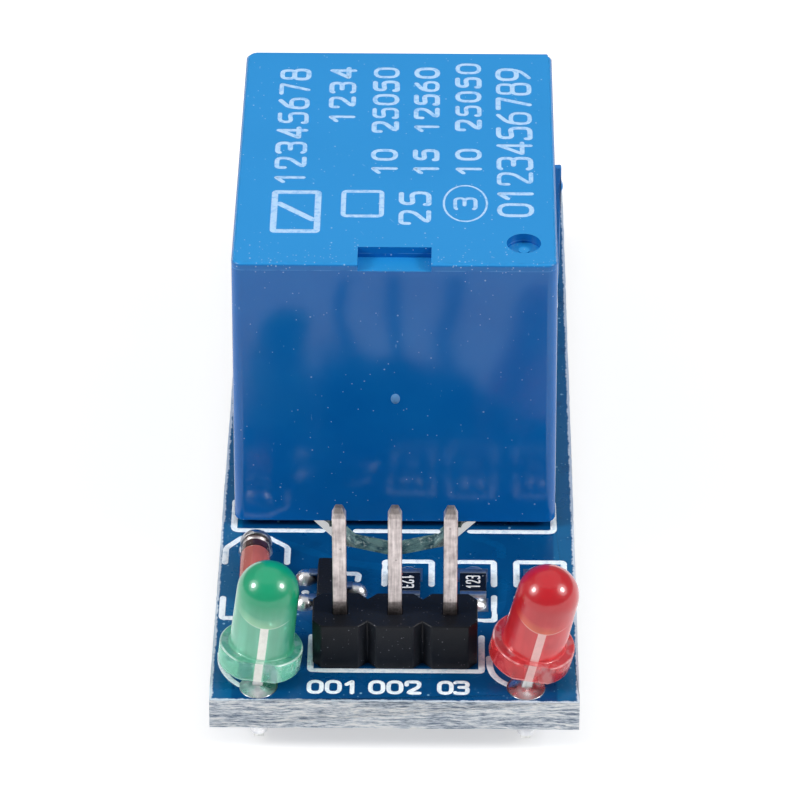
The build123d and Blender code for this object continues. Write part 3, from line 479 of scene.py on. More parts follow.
@dataclass(frozen=True)
class LampEpoxy:
    """Tinted epoxy of a lamp: a saturated dome over a milky body, paler below with painted light, that shows
    the lead frame's bar and the reflector's lower rim as a painted lit crescent, and a glassy flange with
    painted highlights along its edges."""

    name: str
    dome: Color
    body: Color
    glass: Color
    cup_light: Color
    bar: Color
    deep_side: float
    origin: tuple[float, float, float]
    turn: tuple[float, float, float]
    flange_top: float
    flange_radius: float
    shoulder: float
    bar_half: float = 0.19
    bar_top: float = 2.76
    cup_low: float = 2.74
    cup_bend: float = 0.24

    def material(self) -> bpy.types.Material:
        """Build the material."""
        graph = Graph(self.name)
        place = graph.local(self.origin, self.turn)
        x, y, z = (graph.axis(letter, place) for letter in "XYZ")
        front = graph.span(y, 0.1, -0.1)
        wave = graph.times(graph.minus(graph.noise(0.6, 2, 0.5, place), 0.5), 0.6)
        # the deep dome over the paler body: the epoxy's own tint and milkiness, with the lower body's
        # paleness painted for light scattered up through the resin from the lead frame
        up = graph.span(graph.plus(z, wave), self.shoulder - 0.95, self.shoulder + 0.05)
        flange = graph.span(z, self.flange_top + 0.03, self.flange_top - 0.02)
        tint = self.milk(graph, place, x, up)
        tint = graph.blend(graph.times(flange, 0.8), tint, self.clouded(graph, place))
        tint = self.reflector(graph, tint, x, z, front)
        # painted highlights along the flange's edges, laid into the colour
        rim = self.rim_highlights(graph, x, y, z)
        tint = graph.blend(rim, tint, toned(self.glass, 0.4, 0.62))
        bar = self.lead(graph, x, z, front)
        worn = graph.span(graph.noise(3.0, 4, 0.7, place), 0.35, 0.65)
        metal = graph.blend(worn, toned(self.bar, 0.86), self.bar)
        tint = graph.blend(bar, tint, metal)
        milky = graph.surface({"Base Color": tint, "Roughness": 0.32, "Coat Weight": 1.0,
                               "Coat Roughness": 0.05, "IOR": 1.5})
        glass = graph.blend(up, self.glass, toned(self.dome, 0.5))
        clear = graph.glass(glass, 0.03)
        share = graph.plus(graph.number(up, 0.3, 0.1), graph.times(flange, 0.32))
        share = graph.times(share, graph.number(graph.calc("MAXIMUM", bar, rim), 1.0, 0.1))
        return graph.done(graph.mixed(share, milky, clear))

    def milk(self, graph: Graph, place: Socket, x: Socket, up: Socket) -> Socket:
        """The body's milky colour with streaks up it, deeper at one side, and the dome's colour above."""
        streak = graph.noise(1.0, 4, 0.55, graph.stretched((2.6, 2.6, 0.14), place))
        tint = graph.blend(graph.span(streak, 0.34, 0.66), toned(self.body, 0.82), self.body)
        side = graph.span(graph.times(x, self.deep_side), 0.55, 1.25)
        tint = graph.over(tint, side, 0.8, self.dome)
        flecks = graph.specks(3.4, 0.14, 0.07, place)
        tint = graph.over(tint, flecks, 0.5, (0.8, 0.86, 0.8))
        return graph.blend(up, tint, self.dome)

    def clouded(self, graph: Graph, place: Socket) -> Socket:
        """The flange's colour, with pale and deep patches."""
        cloud = graph.noise(1.0, 4, 0.6, graph.stretched((1.5, 1.5, 0.7), place))
        deep = tuple((a + b) / 2 for a, b in zip(self.body, self.dome))
        tint = graph.blend(graph.span(cloud, 0.36, 0.5), deep, self.body)
        pale = toned(self.glass, 0.5, 0.4)
        return graph.blend(graph.span(cloud, 0.52, 0.64), tint, pale)

    def reflector(self, graph: Graph, tint: Socket, x: Socket, z: Socket, front: Socket) -> Socket:
        """The reflector's rim painted as a pale lit crescent, with a painted highlight line under it."""
        low = graph.plus(graph.times(graph.times(x, x), self.cup_bend), self.cup_low)
        over = graph.minus(z, low)
        fade = graph.times(graph.span(over, 0.5, 0.1), graph.span(over, -0.01, 0.02))
        aside = graph.span(graph.size(graph.plus(x, 0.25)), 1.1, 0.5)
        # painted light: the cup's rim painted as a pale lit crescent
        glow = graph.times(graph.times(fade, aside), front)
        tint = graph.over(tint, glow, 0.75, self.cup_light)
        # painted highlight: a bright line under the crescent
        line = graph.times(graph.between(over, -0.02, 0.035, 0.015), front)
        line = graph.times(line, graph.span(graph.size(x), 1.15, 0.8))
        return graph.over(tint, line, 0.6, toned(self.cup_light, 0.5, 0.5))

    def lead(self, graph: Graph, x: Socket, z: Socket, front: Socket) -> Socket:
        """Where the lead frame's bright bar shows through the front."""
        slip = graph.times(graph.span(z, self.flange_top + 0.02, self.flange_top - 0.02), 0.05)
        bar = graph.between(graph.plus(x, slip), -self.bar_half, self.bar_half, 0.015)
        bar = graph.times(bar, graph.between(z, -0.2, self.bar_top, 0.015))
        gap = graph.between(z, self.flange_top - 0.01, self.flange_top + 0.07, 0.015)
        bar = graph.times(bar, graph.number(gap, 1.0, 0.35))
        return graph.times(bar, front)

    def rim_highlights(self, graph: Graph, x: Socket, y: Socket, z: Socket) -> Socket:
        """Painted highlights along the flange's upper and lower edges, broken here and there."""
        reach = graph.add("ShaderNodeCombineXYZ", {"X": x, "Y": y}).outputs[0]
        radius = graph.add("ShaderNodeVectorMath", {0: reach}, operation="LENGTH").outputs["Value"]
        outer = graph.span(radius, self.flange_radius - 0.1, self.flange_radius - 0.05)
        upper = graph.times(graph.between(z, self.flange_top - 0.06, self.flange_top + 0.02, 0.015), outer)
        lower = graph.between(z, 0.03, 0.09, 0.02)
        both = graph.calc("MAXIMUM", upper, graph.times(lower, 0.8))
        return graph.times(both, graph.number(graph.span(graph.noise(0.9, 3), 0.4, 0.6), 0.15, 0.75))


@dataclass(frozen=True)
class Glass:
    """Clear glass that lets the lamps' light through to what it holds."""

    name: str
    color: Color

    def material(self) -> bpy.types.Material:
        """Build the material."""
        graph = Graph(self.name)
        cloud = graph.span(graph.noise(1.0, 2), 0.4, 0.6)
        tint = graph.blend(cloud, self.color, toned(self.color, 0.94))
        return graph.done(graph.glass(tint, 0.02))


@dataclass(frozen=True)
class Winding:
    """Enamelled wire wound evenly along the coil's axis, each winding painted light at its crest and dark in
    the groove between windings.
    """

    name: str
    pitch: float = 0.16

    def material(self) -> bpy.types.Material:
        """Build the material."""
        graph = Graph(self.name)
        phase = graph.times(graph.axis("Z"), 2 * math.pi / self.pitch)
        turn_relief_and_painted_shade = graph.size(graph.calc("SINE", phase))
        # painted shade: dark in the grooves between windings, light on each crest
        tint = graph.blend(turn_relief_and_painted_shade, shade(96, 40, 18), shade(196, 104, 58))
        return graph.done(graph.surface({"Base Color": tint, "Metallic": 0.85, "Roughness": 0.3,
                                         "Normal": graph.bump(turn_relief_and_painted_shade, 0.05)}))


@dataclass(frozen=True)
class Studio:
    """The white floor: lit as it is, and lifted towards white for the camera, gloss and glass."""

    name: str
    paint: float = 0.62
    lift: float = 0.54

    def material(self) -> bpy.types.Material:
        """Build the material."""
        graph = Graph(self.name)
        plain = graph.add("ShaderNodeBsdfDiffuse", {"Color": (self.paint, self.paint, self.paint, 1.0)})
        path = graph.add("ShaderNodeLightPath", {})
        seen = graph.calc("MAXIMUM", path.outputs["Is Camera Ray"], path.outputs["Is Glossy Ray"])
        seen = graph.calc("MAXIMUM", seen, path.outputs["Is Transmission Ray"])
        glow = graph.add("ShaderNodeEmission", {"Color": (1.0, 1.0, 1.0, 1.0),
                                                "Strength": graph.times(seen, self.lift)})
        both = graph.add("ShaderNodeAddShader", {0: plain.outputs[0], 1: glow.outputs[0]})
        return graph.done(both.outputs[0])


# The streaks in metal, in waves to a millimetre along each axis
CLOUDY = (2.0, 2.0, 2.0)
FINE = (3.0, 3.0, 3.0)
ROLLED = (4.0, 0.6, 4.0)


class Finish(Enum):
    """The finishes that several pieces share."""

    PIN = PinTin("pin_tin", shade(226, 216, 214), shade(160, 150, 150), 0.36)
    SOLDER = Tin("bright_solder", shade(252, 252, 253), shade(206, 208, 214), 0.24, CLOUDY, 0.8, 0.02)
    CAP = Tin("cap_tin", shade(206, 212, 220), shade(128, 138, 152), 0.3, CLOUDY, 0.8)
    LEAD = Tin("lead_tin", shade(250, 250, 248), shade(214, 216, 214), 0.42)
    PLATED = Tin("plated_hole", shade(216, 216, 214), shade(150, 150, 150), 0.3, CLOUDY, 0.8)
    STEEL = Tin("zinc_steel", shade(214, 216, 220), shade(158, 162, 170), 0.3, FINE, 0.7)
    MAGNET = Tin("nickelled_iron", shade(190, 186, 178), shade(140, 136, 128), 0.34, FINE, 0.7)
    BRONZE = Tin("spring_bronze", shade(206, 156, 110), shade(164, 116, 76), 0.3, ROLLED, 0.4)
    COPPER = Tin("strip_copper", shade(222, 152, 118), shade(176, 106, 78), 0.3, ROLLED, 0.4)
    SILVER = Tin("contact_silver", shade(240, 238, 232), shade(196, 194, 188), 0.24, FINE, 0.7)
    STUD = Tin("stud_metal", shade(226, 226, 228), shade(150, 152, 158), 0.22, CLOUDY, 0.8)
    BLACK = Moulding("header_black", shade(19, 22, 29), 0.42, 0.008, 0.5, shade(120, 118, 128), 0.25)
    EPOXY_BLACK = Moulding("package_black", shade(17, 18, 22), 0.45, 0.02, 0.5, shade(130, 132, 140), 0.25)
    BLUE = Moulding("terminal_blue", (0.006, 0.215, 0.6), 0.3, 0.004, 0.25)
    BOBBIN = Moulding("bobbin_plastic", shade(214, 206, 186), 0.45)
    BASE = Moulding("relay_base_plastic", shade(26, 27, 30), 0.45)
    RESIN = Moulding("sealing_resin", shade(38, 34, 32), 0.25, 0.01)
    GLAZE = Moulding("resistor_glaze", shade(15, 15, 20), 0.16, 0.003, 0.15)
    CRYSTAL = Moulding("chip_crystal", shade(150, 140, 118), 0.3)
    WIRE = Winding("enamelled_wire")
    EDGE = Laminate("laminate_edge")
    SLOT = SlotWall("slot_wall")
    WHITE_INK = Ink("white_ink", shade(240, 248, 253), shade(206, 222, 236))
    PALE_INK = Ink("pale_ink", shade(176, 211, 245), shade(132, 186, 236))
    CODE_INK = Ink("code_ink", shade(222, 223, 225), shade(178, 180, 184))


MADE: dict[str, bpy.types.Material] = {}  # each finish's material, once it is built


def dressed(finish: object) -> bpy.types.Material:
    """The material of a finish, built once."""
    style = finish.value if isinstance(finish, Finish) else finish
    if style.name not in MADE:
        MADE[style.name] = style.material()
    return MADE[style.name]


def new_mesh() -> Mesh:
    """An empty mesh, worked in millimetres."""
    return bmesh.new()


def merged(node: str) -> Mesh:
    """A CAD node's mesh in millimetres, with the corners of its triangles merged."""
    mesh = new_mesh()
    mesh.from_mesh(frame["nodes"][node].data)
    bmesh.ops.scale(mesh, vec=(PER_METRE,) * 3, verts=mesh.verts)
    bmesh.ops.remove_doubles(mesh, verts=mesh.verts, dist=WELD)
    return mesh


def whole(mesh: Mesh) -> None:
    """Make a mesh's flat faces whole."""
    bmesh.ops.dissolve_limit(mesh, angle_limit=math.radians(1), use_dissolve_boundaries=False,
                             verts=mesh.verts, edges=mesh.edges)


def copy_of(node: str) -> Mesh:
    """A CAD node's mesh in millimetres, with its flat faces made whole."""
    mesh = merged(node)
    whole(mesh)
    return mesh


def soften(mesh: Mesh, width: float, angle: float = 30.0, segments: int = 2,
           ceiling: float = math.inf) -> None:
    """Round every edge that is sharper than an angle.

    Args:
        mesh: The mesh to change.
        width: The rounding's width in millimetres.
        angle: The least angle between an edge's two faces, in degrees.
        segments: The number of steps across the rounding.
        ceiling: The height above which edges are left alone.
    """
    limit = math.radians(angle)
    sharp = [e for e in mesh.edges if len(e.link_faces) == 2 and e.calc_face_angle() > limit
             and e.verts[0].co.z < ceiling]
    bmesh.ops.bevel(mesh, geom=sharp, offset=width, offset_type="OFFSET", segments=segments, profile=0.5,
                    affect="EDGES", material=-1, clamp_overlap=False)


def place(name: str, mesh: Mesh, finishes: Sequence[object], body: str = BOARD,
          replaces: Iterable[str] = (), slot: str = None, sharp: float = 40.0) -> bpy.types.Object:
    """Make a finished piece of a mesh that is in millimetres.

    Args:
        name: The piece's name.
        mesh: Its mesh, used up by this.
        finishes: Its finishes in the order of the faces' material numbers.
        body: The CAD body that it rides on.
        replaces: The CAD nodes that it stands for.
        slot: Not used.
        sharp: The angle past which an edge stays sharp in the shading, in degrees.

    Returns:
        The piece's object.
    """
    limit = math.radians(sharp)
    for face in mesh.faces:
        face.smooth = True
    for edge in mesh.edges:
        edge.smooth = len(edge.link_faces) == 2 and edge.calc_face_angle() <= limit
    bmesh.ops.scale(mesh, vec=(MM,) * 3, verts=mesh.verts)
    data = bpy.data.meshes.new(name)
    mesh.to_mesh(data)
    mesh.free()
    for finish in finishes:
        data.materials.append(dressed(finish))
    piece = bpy.data.objects.new(name, data)
    bpy.context.scene.collection.objects.link(piece)
    weighted = piece.modifiers.new("weighted_normals", "WEIGHTED_NORMAL")
    weighted.keep_sharp = True
    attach(piece, body)
    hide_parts(*replaces)
    log.info("%s: %d faces", name, len(data.polygons))
    return piece


def softened(node: str, finish: object, width: float, segments: int = 2, angle: float = 30.0,
             sharp: float = 40.0) -> bpy.types.Object:
    """A CAD node's piece again, with its edges rounded, in a finish."""
    mesh = copy_of(node)
    soften(mesh, width, angle, segments)
    return place("soft_" + node, mesh, [finish], BODY_OF[node], [node], SLOT_OF[node], sharp)


def repaint(node: str, finish: object) -> None:
    """Give a CAD node that is shown as it is a better material."""
    data = frame["nodes"][node].data
    for number in range(len(data.materials)):
        data.materials[number] = dressed(finish)


def spun(profile: Sequence[Point], steps: int = 64) -> Mesh:
    """Turn a profile of (radius, height) points round Z.

    Args:
        profile: The points from the lowest to the highest, which start and end on the axis.
        steps: The number of steps round.

    Returns:
        The closed mesh.
    """
    mesh = new_mesh()
    verts = [mesh.verts.new((radius, 0, height)) for radius, height in profile]
    edges = [mesh.edges.new(pair) for pair in zip(verts, verts[1:])]
    bmesh.ops.spin(mesh, geom=verts + edges, cent=(0, 0, 0), axis=(0, 0, 1), dvec=(0, 0, 0),
                   angle=2 * math.pi, steps=steps, use_merge=True, use_duplicate=False)
    bmesh.ops.remove_doubles(mesh, verts=mesh.verts, dist=WELD)
    bmesh.ops.recalc_face_normals(mesh, faces=mesh.faces)
    return mesh


def arc(centre: Point, radius: float, start: float, end: float, steps: int = 6) -> list[Point]:
    """Points on an arc.

    Args:
        centre: The arc's centre.
        radius: Its radius.
        start: The angle of its first point, in degrees.
        end: The angle of its last point.
        steps: The number of stretches.

    Returns:
        The points.
    """
    angles = [math.radians(start + (end - start) * i / steps) for i in range(steps + 1)]
    return [(centre[0] + radius * math.cos(a), centre[1] + radius * math.sin(a)) for a in angles]


def absorb(mesh: Mesh, other: Mesh, matrix: Matrix = Matrix.Identity(4)) -> None:
    """Move another mesh into this one, placed by a matrix."""
    bmesh.ops.transform(other, matrix=matrix, verts=other.verts)
    carrier = bpy.data.meshes.new("carrier")
    other.to_mesh(carrier)
    other.free()
    mesh.from_mesh(carrier)
    bpy.data.meshes.remove(carrier)


def sliced(mesh: Mesh, point: Sequence[float], facing: Sequence[float]) -> None:
    """Cut away what lies before a plane, close the cut and face every face outward.

    Args:
        mesh: The mesh to cut.
        point: A point on the plane.
        facing: The direction of the side that is cut away.
    """
    cut = bmesh.ops.bisect_plane(mesh, geom=[*mesh.verts, *mesh.edges, *mesh.faces], dist=0.0001,
                                 plane_co=point, plane_no=facing, clear_outer=True)
    rim = [e for e in cut["geom_cut"] if isinstance(e, bmesh.types.BMEdge)]
    bmesh.ops.contextual_create(mesh, geom=rim)
    bmesh.ops.recalc_face_normals(mesh, faces=mesh.faces)


@dataclass(frozen=True)
class Stroke:
    """One printed line, through points with its corners rounded."""

    points: tuple[Point, ...]
    corner: float = 0.2
    closed: bool = False

    def path(self) -> list[Point]:
        """The line's points, with each corner as a short curve."""
        count = len(self.points)
        found: list[Point] = []
        for index, point in enumerate(self.points):
            if not self.closed and index in (0, count - 1):
                found.append(point)
                continue
            here = Vector(point)
            before, after = Vector(self.points[index - 1]), Vector(self.points[(index + 1) % count])
            cut = min(self.corner, (before - here).length / 2, (after - here).length / 2)
            start = here + (before - here).normalized() * cut
            end = here + (after - here).normalized() * cut
            for step in range(5):
                t = step / 4
                bend = start * (1 - t) ** 2 + here * 2 * t * (1 - t) + end * t * t
                found.append((bend.x, bend.y))
        return found


INK_STEP = 0.12  # how much higher, in half widths, a stroke lies than the one before, so that none coincide


def printed(strokes: Iterable[tuple[Stroke, float]], thickness: float) -> Mesh:
    """Lay strokes down as flat lines of ink with round ends, on the plane z = 0.

    Args:
        strokes: Each stroke with its width.
        thickness: The height that the ink stands above the plane.

    Returns:
        The mesh, half of it below the plane.
    """
    curve = bpy.data.curves.new("ink", "CURVE")
    curve.dimensions = "3D"
    curve.bevel_depth = 1.0
    curve.bevel_resolution = 1
    curve.use_fill_caps = True
    for index, (stroke, width) in enumerate(strokes):
        path = [Vector(p) for p in stroke.path()]
        level = INK_STEP * (index % 3)
        half = width / 2
        radii = [half] * len(path)
        if not stroke.closed:
            path, radii = rounded_ends(path, half)
        spline = curve.splines.new("POLY")
        spline.points.add(len(path) - 1)
        for target, point, radius in zip(spline.points, path, radii):
            target.co = (point.x, point.y, level * half, 1)
            target.radius = radius
        spline.use_cyclic_u = stroke.closed
    carrier = bpy.data.objects.new("ink", curve)
    data = bpy.data.meshes.new_from_object(carrier)
    mesh = new_mesh()
    mesh.from_mesh(data)
    widest = max(width for _, width in strokes) / 2
    bmesh.ops.scale(mesh, vec=(1, 1, thickness / widest), verts=mesh.verts)
    bpy.data.objects.remove(carrier)
    bpy.data.curves.remove(curve)
    bpy.data.meshes.remove(data)
    return mesh


def rounded_ends(path: list[Vector], half: float) -> tuple[list[Vector], list[float]]:
    """Add a round end to each end of an open line.

    Args:
        path: The line's points.
        half: Half of its width.

    Returns:
        The longer line and the half width at each of its points.
    """
    first = (path[0] - path[1]).normalized()
    last = (path[-1] - path[-2]).normalized()
    angles = [math.radians(a) for a in (25, 50, 75, 88)]
    head = [path[0] + first * half * math.sin(a) for a in reversed(angles)]
    tail = [path[-1] + last * half * math.sin(a) for a in angles]
    narrow = [half * math.cos(a) for a in angles]
    return head + path + tail, narrow[::-1] + [half] * len(path) + narrow


DIGITS: dict[str, tuple[Stroke, ...]] = {
    "0": (Stroke(((0, 0), (1, 0), (1, 1), (0, 1)), 0.5, True),),
    "1": (Stroke(((0.12, 0.74), (0.56, 1), (0.56, 0)), 0.05),),
    "2": (Stroke(((0, 0.72), (0, 1), (1, 1), (1, 0.56), (0, 0), (1, 0)), 0.42),),
    "3": (Stroke(((0, 0.94), (0.1, 1), (1, 1), (1, 0.54), (0.35, 0.54)), 0.34),
          Stroke(((0.35, 0.54), (1, 0.54), (1, 0), (0.1, 0), (0, 0.08)), 0.34)),
    "4": (Stroke(((0.76, 0), (0.76, 1)), 0.04), Stroke(((0.74, 0.96), (0, 0.26), (1, 0.26)), 0.04)),
    "5": (Stroke(((0.94, 1), (0.1, 1), (0.04, 0.56), (1, 0.64), (1, 0), (0, 0), (0, 0.12)), 0.34),),
    "6": (Stroke(((0, 0), (1, 0), (1, 0.6), (0, 0.6)), 0.4, True),
          Stroke(((0.8, 1), (0.1, 0.7), (0, 0.3)), 0.4)),
    "7": (Stroke(((0, 1), (1, 1), (0.4, 0)), 0.08),),
    "8": (Stroke(((0.06, 0.54), (0.94, 0.54), (0.94, 1), (0.06, 1)), 0.3, True),
          Stroke(((0, 0), (1, 0), (1, 0.54), (0, 0.54)), 0.34, True)),
    "9": (Stroke(((0, 0.4), (1, 0.4), (1, 1), (0, 1)), 0.4, True),
          Stroke(((0.2, 0), (0.9, 0.3), (1, 0.7)), 0.4)),
}


@dataclass(frozen=True)
class Line:
    """A line of plain digits, set from a corner, with its reading direction."""

    text: str
    start: Point
    height: float
    width: float
    advance: float
    reading: float = 0.0

    def strokes(self) -> list[Stroke]:
        """The digits' strokes, at their place."""
        turn = Matrix.Rotation(math.radians(self.reading), 2)
        found = []
        for index, letter in enumerate(self.text):
            for shape in DIGITS.get(letter, ()):
                points = []
                for x, y in shape.points:
                    local = turn @ Vector((x * self.width + index * self.advance, y * self.height))
                    points.append((self.start[0] + local.x, self.start[1] + local.y))
                found.append(Stroke(tuple(points), shape.corner * self.width, shape.closed))
        return found


def lump(centre: Sequence[float], radii: Sequence[float], floor: float, seed: int) -> Mesh:
    """A settled drop of solder.

    Args:
        centre: The drop's middle, in millimetres.
        radii: Its half sizes.
        floor: The height of the face that it lies on.
        seed: What its unevenness is drawn from.

    Returns:
        Its mesh, closed by a flat underside.
    """
    mesh = new_mesh()
    bmesh.ops.create_uvsphere(mesh, u_segments=28, v_segments=18, radius=1.0)
    draw = random.Random(seed)
    waves = [(Vector((draw.uniform(-1, 1), draw.uniform(-1, 1), draw.uniform(-1, 1))), draw.uniform(0, 6))
             for _ in range(4)]
    for vert in mesh.verts:
        swell = sum(math.sin(2.3 * vert.co.dot(axis) + phase) for axis, phase in waves)
        vert.co *= 1 + 0.035 * swell
    bmesh.ops.scale(mesh, vec=tuple(radii), verts=mesh.verts)
    bmesh.ops.translate(mesh, vec=tuple(centre), verts=mesh.verts)
    sliced(mesh, (0, 0, floor), (0, 0, -1))
    return mesh


@dataclass
class CircuitBoard:
    """The blue board: laminate, print, pads, traces and the solder on it."""

    bottom: float = 1.5
    width: float = 17.0
    length: float = 43.0
    roughness: float = 0.035
    rough_seed: int = 5
    border_least: float = 3.0
    border_cuts: int = 90
    side_band: float = 0.3
    slot_centre: Point = (-0.14, 15.11)
    slot_reach: tuple[float, float] = (2.6, 4.6)
    slot_high: float = 18.5
    chip_x: tuple[float, ...] = (0.5, 3.62, 6.74)
    chip_y: float = 8.22
    pad_radius: float = 0.86
    silk: float = 0.3
    silk_height: float = 0.022
    track_height: float = 0.01
    pad_height: float = 0.02
    joint_foot: float = 0.9
    joint_tip: float = 0.42
    joint_hollow: float = 2.2
    joint_steps: int = 8
    label_width: float = 0.21

    def inward(self, y: float) -> float:
        """The Y of a place that is so far in from the header's end."""
        return y - self.length / 2

    def build(self) -> None:
        """Build and dress the board and everything that is printed or soldered on it."""
        self.laminate()
        self.print()
        self.pads()
        self.traces()
        self.joints()
        self.lumps()

    def laminate(self) -> None:
        """The board itself, its outer edge slightly rough, its faces sorted into finishes."""
        mesh = merged("circuit_board")
        half_x, half_y = self.width / 2, self.length / 2
        border = [e for e in mesh.edges if self.on_border(e.verts[0].co) and self.on_border(e.verts[1].co)
                  and abs(e.verts[0].co.z - e.verts[1].co.z) < NEAR and e.calc_length() > self.border_least]
        bmesh.ops.subdivide_edges(mesh, edges=border, cuts=self.border_cuts)
        bmesh.ops.triangulate(mesh, faces=[f for f in mesh.faces if len(f.verts) > 3])
        draw = random.Random(self.rough_seed)
        for vert in mesh.verts:
            if self.on_border(vert.co) and vert.co.z > self.bottom + NEAR:
                if abs(abs(vert.co.x) - half_x) < NEAR:
                    vert.co.x -= math.copysign(draw.uniform(0, self.roughness), vert.co.x)
                if abs(abs(vert.co.y) - half_y) < NEAR:
                    vert.co.y -= math.copysign(draw.uniform(0, self.roughness), vert.co.y)
        ring = Vector((self.slot_centre[0], self.inward(self.slot_centre[1])))
        near, far = self.slot_reach
        on_face, on_edge, on_slot, on_hole = range(4)  # the order of the finishes below
        for face in mesh.faces:
            middle = face.calc_center_median()
            if abs(face.normal.z) > 0.7:
                face.material_index = on_face
            elif min(half_x - abs(middle.x), half_y - abs(middle.y)) < self.side_band:
                face.material_index = on_edge
            elif near < (middle.xy - ring).length < far and middle.y < self.inward(self.slot_high):
                face.material_index = on_slot
            else:
                face.material_index = on_hole
        mask = SolderMask("solder_mask", half_x, half_y)
        place("board_laminate", mesh, [mask, Finish.EDGE, Finish.SLOT, Finish.PLATED], BOARD,
              ["circuit_board"], "board_laminate", 30.0)

    def on_border(self, point: Vector) -> bool:
        """Whether a point lies on the board's outer sides."""
        return abs(abs(point.x) - self.width / 2) < NEAR or abs(abs(point.y) - self.length / 2) < NEAR

    def lay(self, name: str, strokes: list[tuple[Stroke, float]], height: float, level: float,
            finish: object) -> None:
        """Lay strokes on a level as ink or copper, their Y given in from the header's end."""
        mesh = printed(strokes, height)
        bmesh.ops.translate(mesh, vec=(0, -self.length / 2, level), verts=mesh.verts)
        place(name, mesh, [finish], BOARD, (), "board_laminate", 60.0)

    def print(self) -> None:
        """The white lines round the parts, and plain numbers for the pins."""
        lines = [
            Stroke(((-7.9, 15.0), (-7.88, 12.72), (-3.62, 12.72)), 0.25),
            Stroke(((-2.0, 12.72), (1.92, 12.72)), 0.1),
            Stroke(((3.5, 12.72), (7.52, 12.72), (7.5, 15.0)), 0.25),
            Stroke(((-3.91, 4.7), (-3.91, 2.21), (4.01, 2.21), (4.01, 4.7)), 0.1),
            Stroke(((-8.2, 10.2), (-8.2, 11.32), (-7.43, 12.19), (-6.23, 12.2), (-5.24, 11.43),
                    (-5.24, 10.2)), 0.2),
            Stroke(((-8.17, 7.5), (-8.17, 6.0), (-7.5, 6.0)), 0.15),
            Stroke(((-2.46, 9.42), (-1.9, 9.4), (-1.8, 9.3), (-1.85, 8.93)), 0.2),
        ]
        for left, right in ((-0.57, 1.66), (2.5, 4.62), (5.69, 7.95)):
            lines.append(Stroke(((left, 8.6), (left, 10.37), (right, 10.37), (right, 8.6)), 0.12))
            lines.append(Stroke(((left, 7.7), (left, 5.95), (right, 5.95), (right, 7.7)), 0.12))
        strokes = [(line, self.silk) for line in lines]
        strokes.append((Stroke(((-4.32, 7.96), (-4.28, 7.96)), 0.01), 0.34))
        left_bow = ((-8.12, 3.4), (-8.08, 2.7), (-7.9, 2.1), (-7.57, 1.52), (-7.14, 1.1))
        right_bow = ((4.36, 3.2), (4.38, 2.6), (4.5, 2.05), (4.81, 1.57), (5.2, 1.28))
        strokes += [(Stroke(left_bow, 0.3), 0.26), (Stroke(right_bow, 0.3), 0.3)]
        labels = [Line("001", (-3.93, 0.63), 0.8, 0.58, 0.83), Line("002", (-1.1, 0.63), 0.8, 0.58, 0.83),
                  Line("03", (2.06, 0.63), 0.8, 0.56, 0.74)]
        for label in labels:
            strokes += [(stroke, self.label_width) for stroke in label.strokes()]
        for line in (((-7.9, 31.7), (-7.9, 33.0)), ((7.9, 31.7), (7.9, 33.0)),
                     ((-7.9, 41.6), (-7.9, 42.3), (7.9, 42.3), (7.9, 41.6))):
            strokes.append((Stroke(line, 0.1), self.silk))
        self.lay("silk_print", strokes, self.silk_height, BOARD_TOP, Finish.WHITE_INK)

    def pads(self) -> None:
        """Bright flat pads on the upper face, for a lead of each lamp and for the chip resistors' ends."""
        mesh = new_mesh()
        radius, height = self.pad_radius, self.pad_height
        for x, y in ((-6.22, 1.08), (6.02, 1.08)):
            disc = spun([(0, 0), (radius, 0), (radius, height), (0, height)], 40)
            absorb(mesh, disc, Matrix.Translation((x, self.inward(y), BOARD_TOP)))
        tin = Tin("pad_tin", shade(206, 208, 196), shade(150, 152, 140), 0.26, CLOUDY, 0.8)
        place("lamp_pads", mesh, [tin], BOARD, (), "solder")
        mesh = new_mesh()
        for x in self.chip_x:
            for side in (-1, 1):
                middle = (x, self.inward(self.chip_y + side * 1.12), BOARD_TOP + height / 2)
                seat = Matrix.Translation(middle) @ Matrix.Diagonal((1.45, 1.0, height, 1))
                bmesh.ops.create_cube(mesh, size=1.0, matrix=seat)
        place("chip_pads", mesh, [Finish.CAP], BOARD, (), "solder")

    def traces(self) -> None:
        """Copper tracks that stand up a little under the mask, on both faces."""
        mask = SolderMask("mask_over_tracks", self.width / 2, self.length / 2,
                          shade(0, 72, 124), shade(0, 98, 148))
        top = [
            (Stroke(((-5.9, 12.0), (-3.9, 10.95), (-2.6, 10.3), (-0.5, 9.9)), 0.4), 0.5),
            (Stroke(((5.0, 10.85), (5.0, 11.6), (3.4, 12.5)), 0.3), 0.45),
            (Stroke(((5.05, 8.65), (4.9, 6.8), (3.6, 5.6)), 0.3), 0.45),
            (Stroke(((-5.2, 8.6), (-4.9, 6.2), (-3.0, 4.2)), 0.4), 0.5),
            (Stroke(((-4.6, 5.2), (-4.6, 2.4), (-3.6, 1.9), (3.6, 1.9)), 0.4), 0.35),
        ]
        self.lay("top_tracks", top, self.track_height, BOARD_TOP, mask)
        low = [
            (Stroke(((-5.08, 37.5), (-5.08, 33.0), (-6.14, 30.5), (-6.14, 20.8)), 0.8), 2.6),
            (Stroke(((5.08, 37.5), (5.08, 33.0), (5.86, 30.5), (5.86, 20.8)), 0.8), 2.6),
            (Stroke(((0, 37.5), (0, 22.0), (-0.14, 14.6)), 0.8), 3.0),
            (Stroke(((-2.54, 3.6), (-2.54, 5.6), (-5.4, 8.4), (-6.14, 12.0), (-6.14, 15.5)), 0.6), 0.8),
            (Stroke(((0, 3.6), (0, 6.4), (3.4, 9.6), (5.86, 12.4), (5.86, 15.5)), 0.6), 0.8),
            (Stroke(((2.54, 3.6), (2.54, 5.2), (5.0, 7.6), (5.0, 10.85)), 0.4), 0.6),
        ]
        self.lay("bottom_tracks", low, self.track_height * 2, self.bottom, mask)

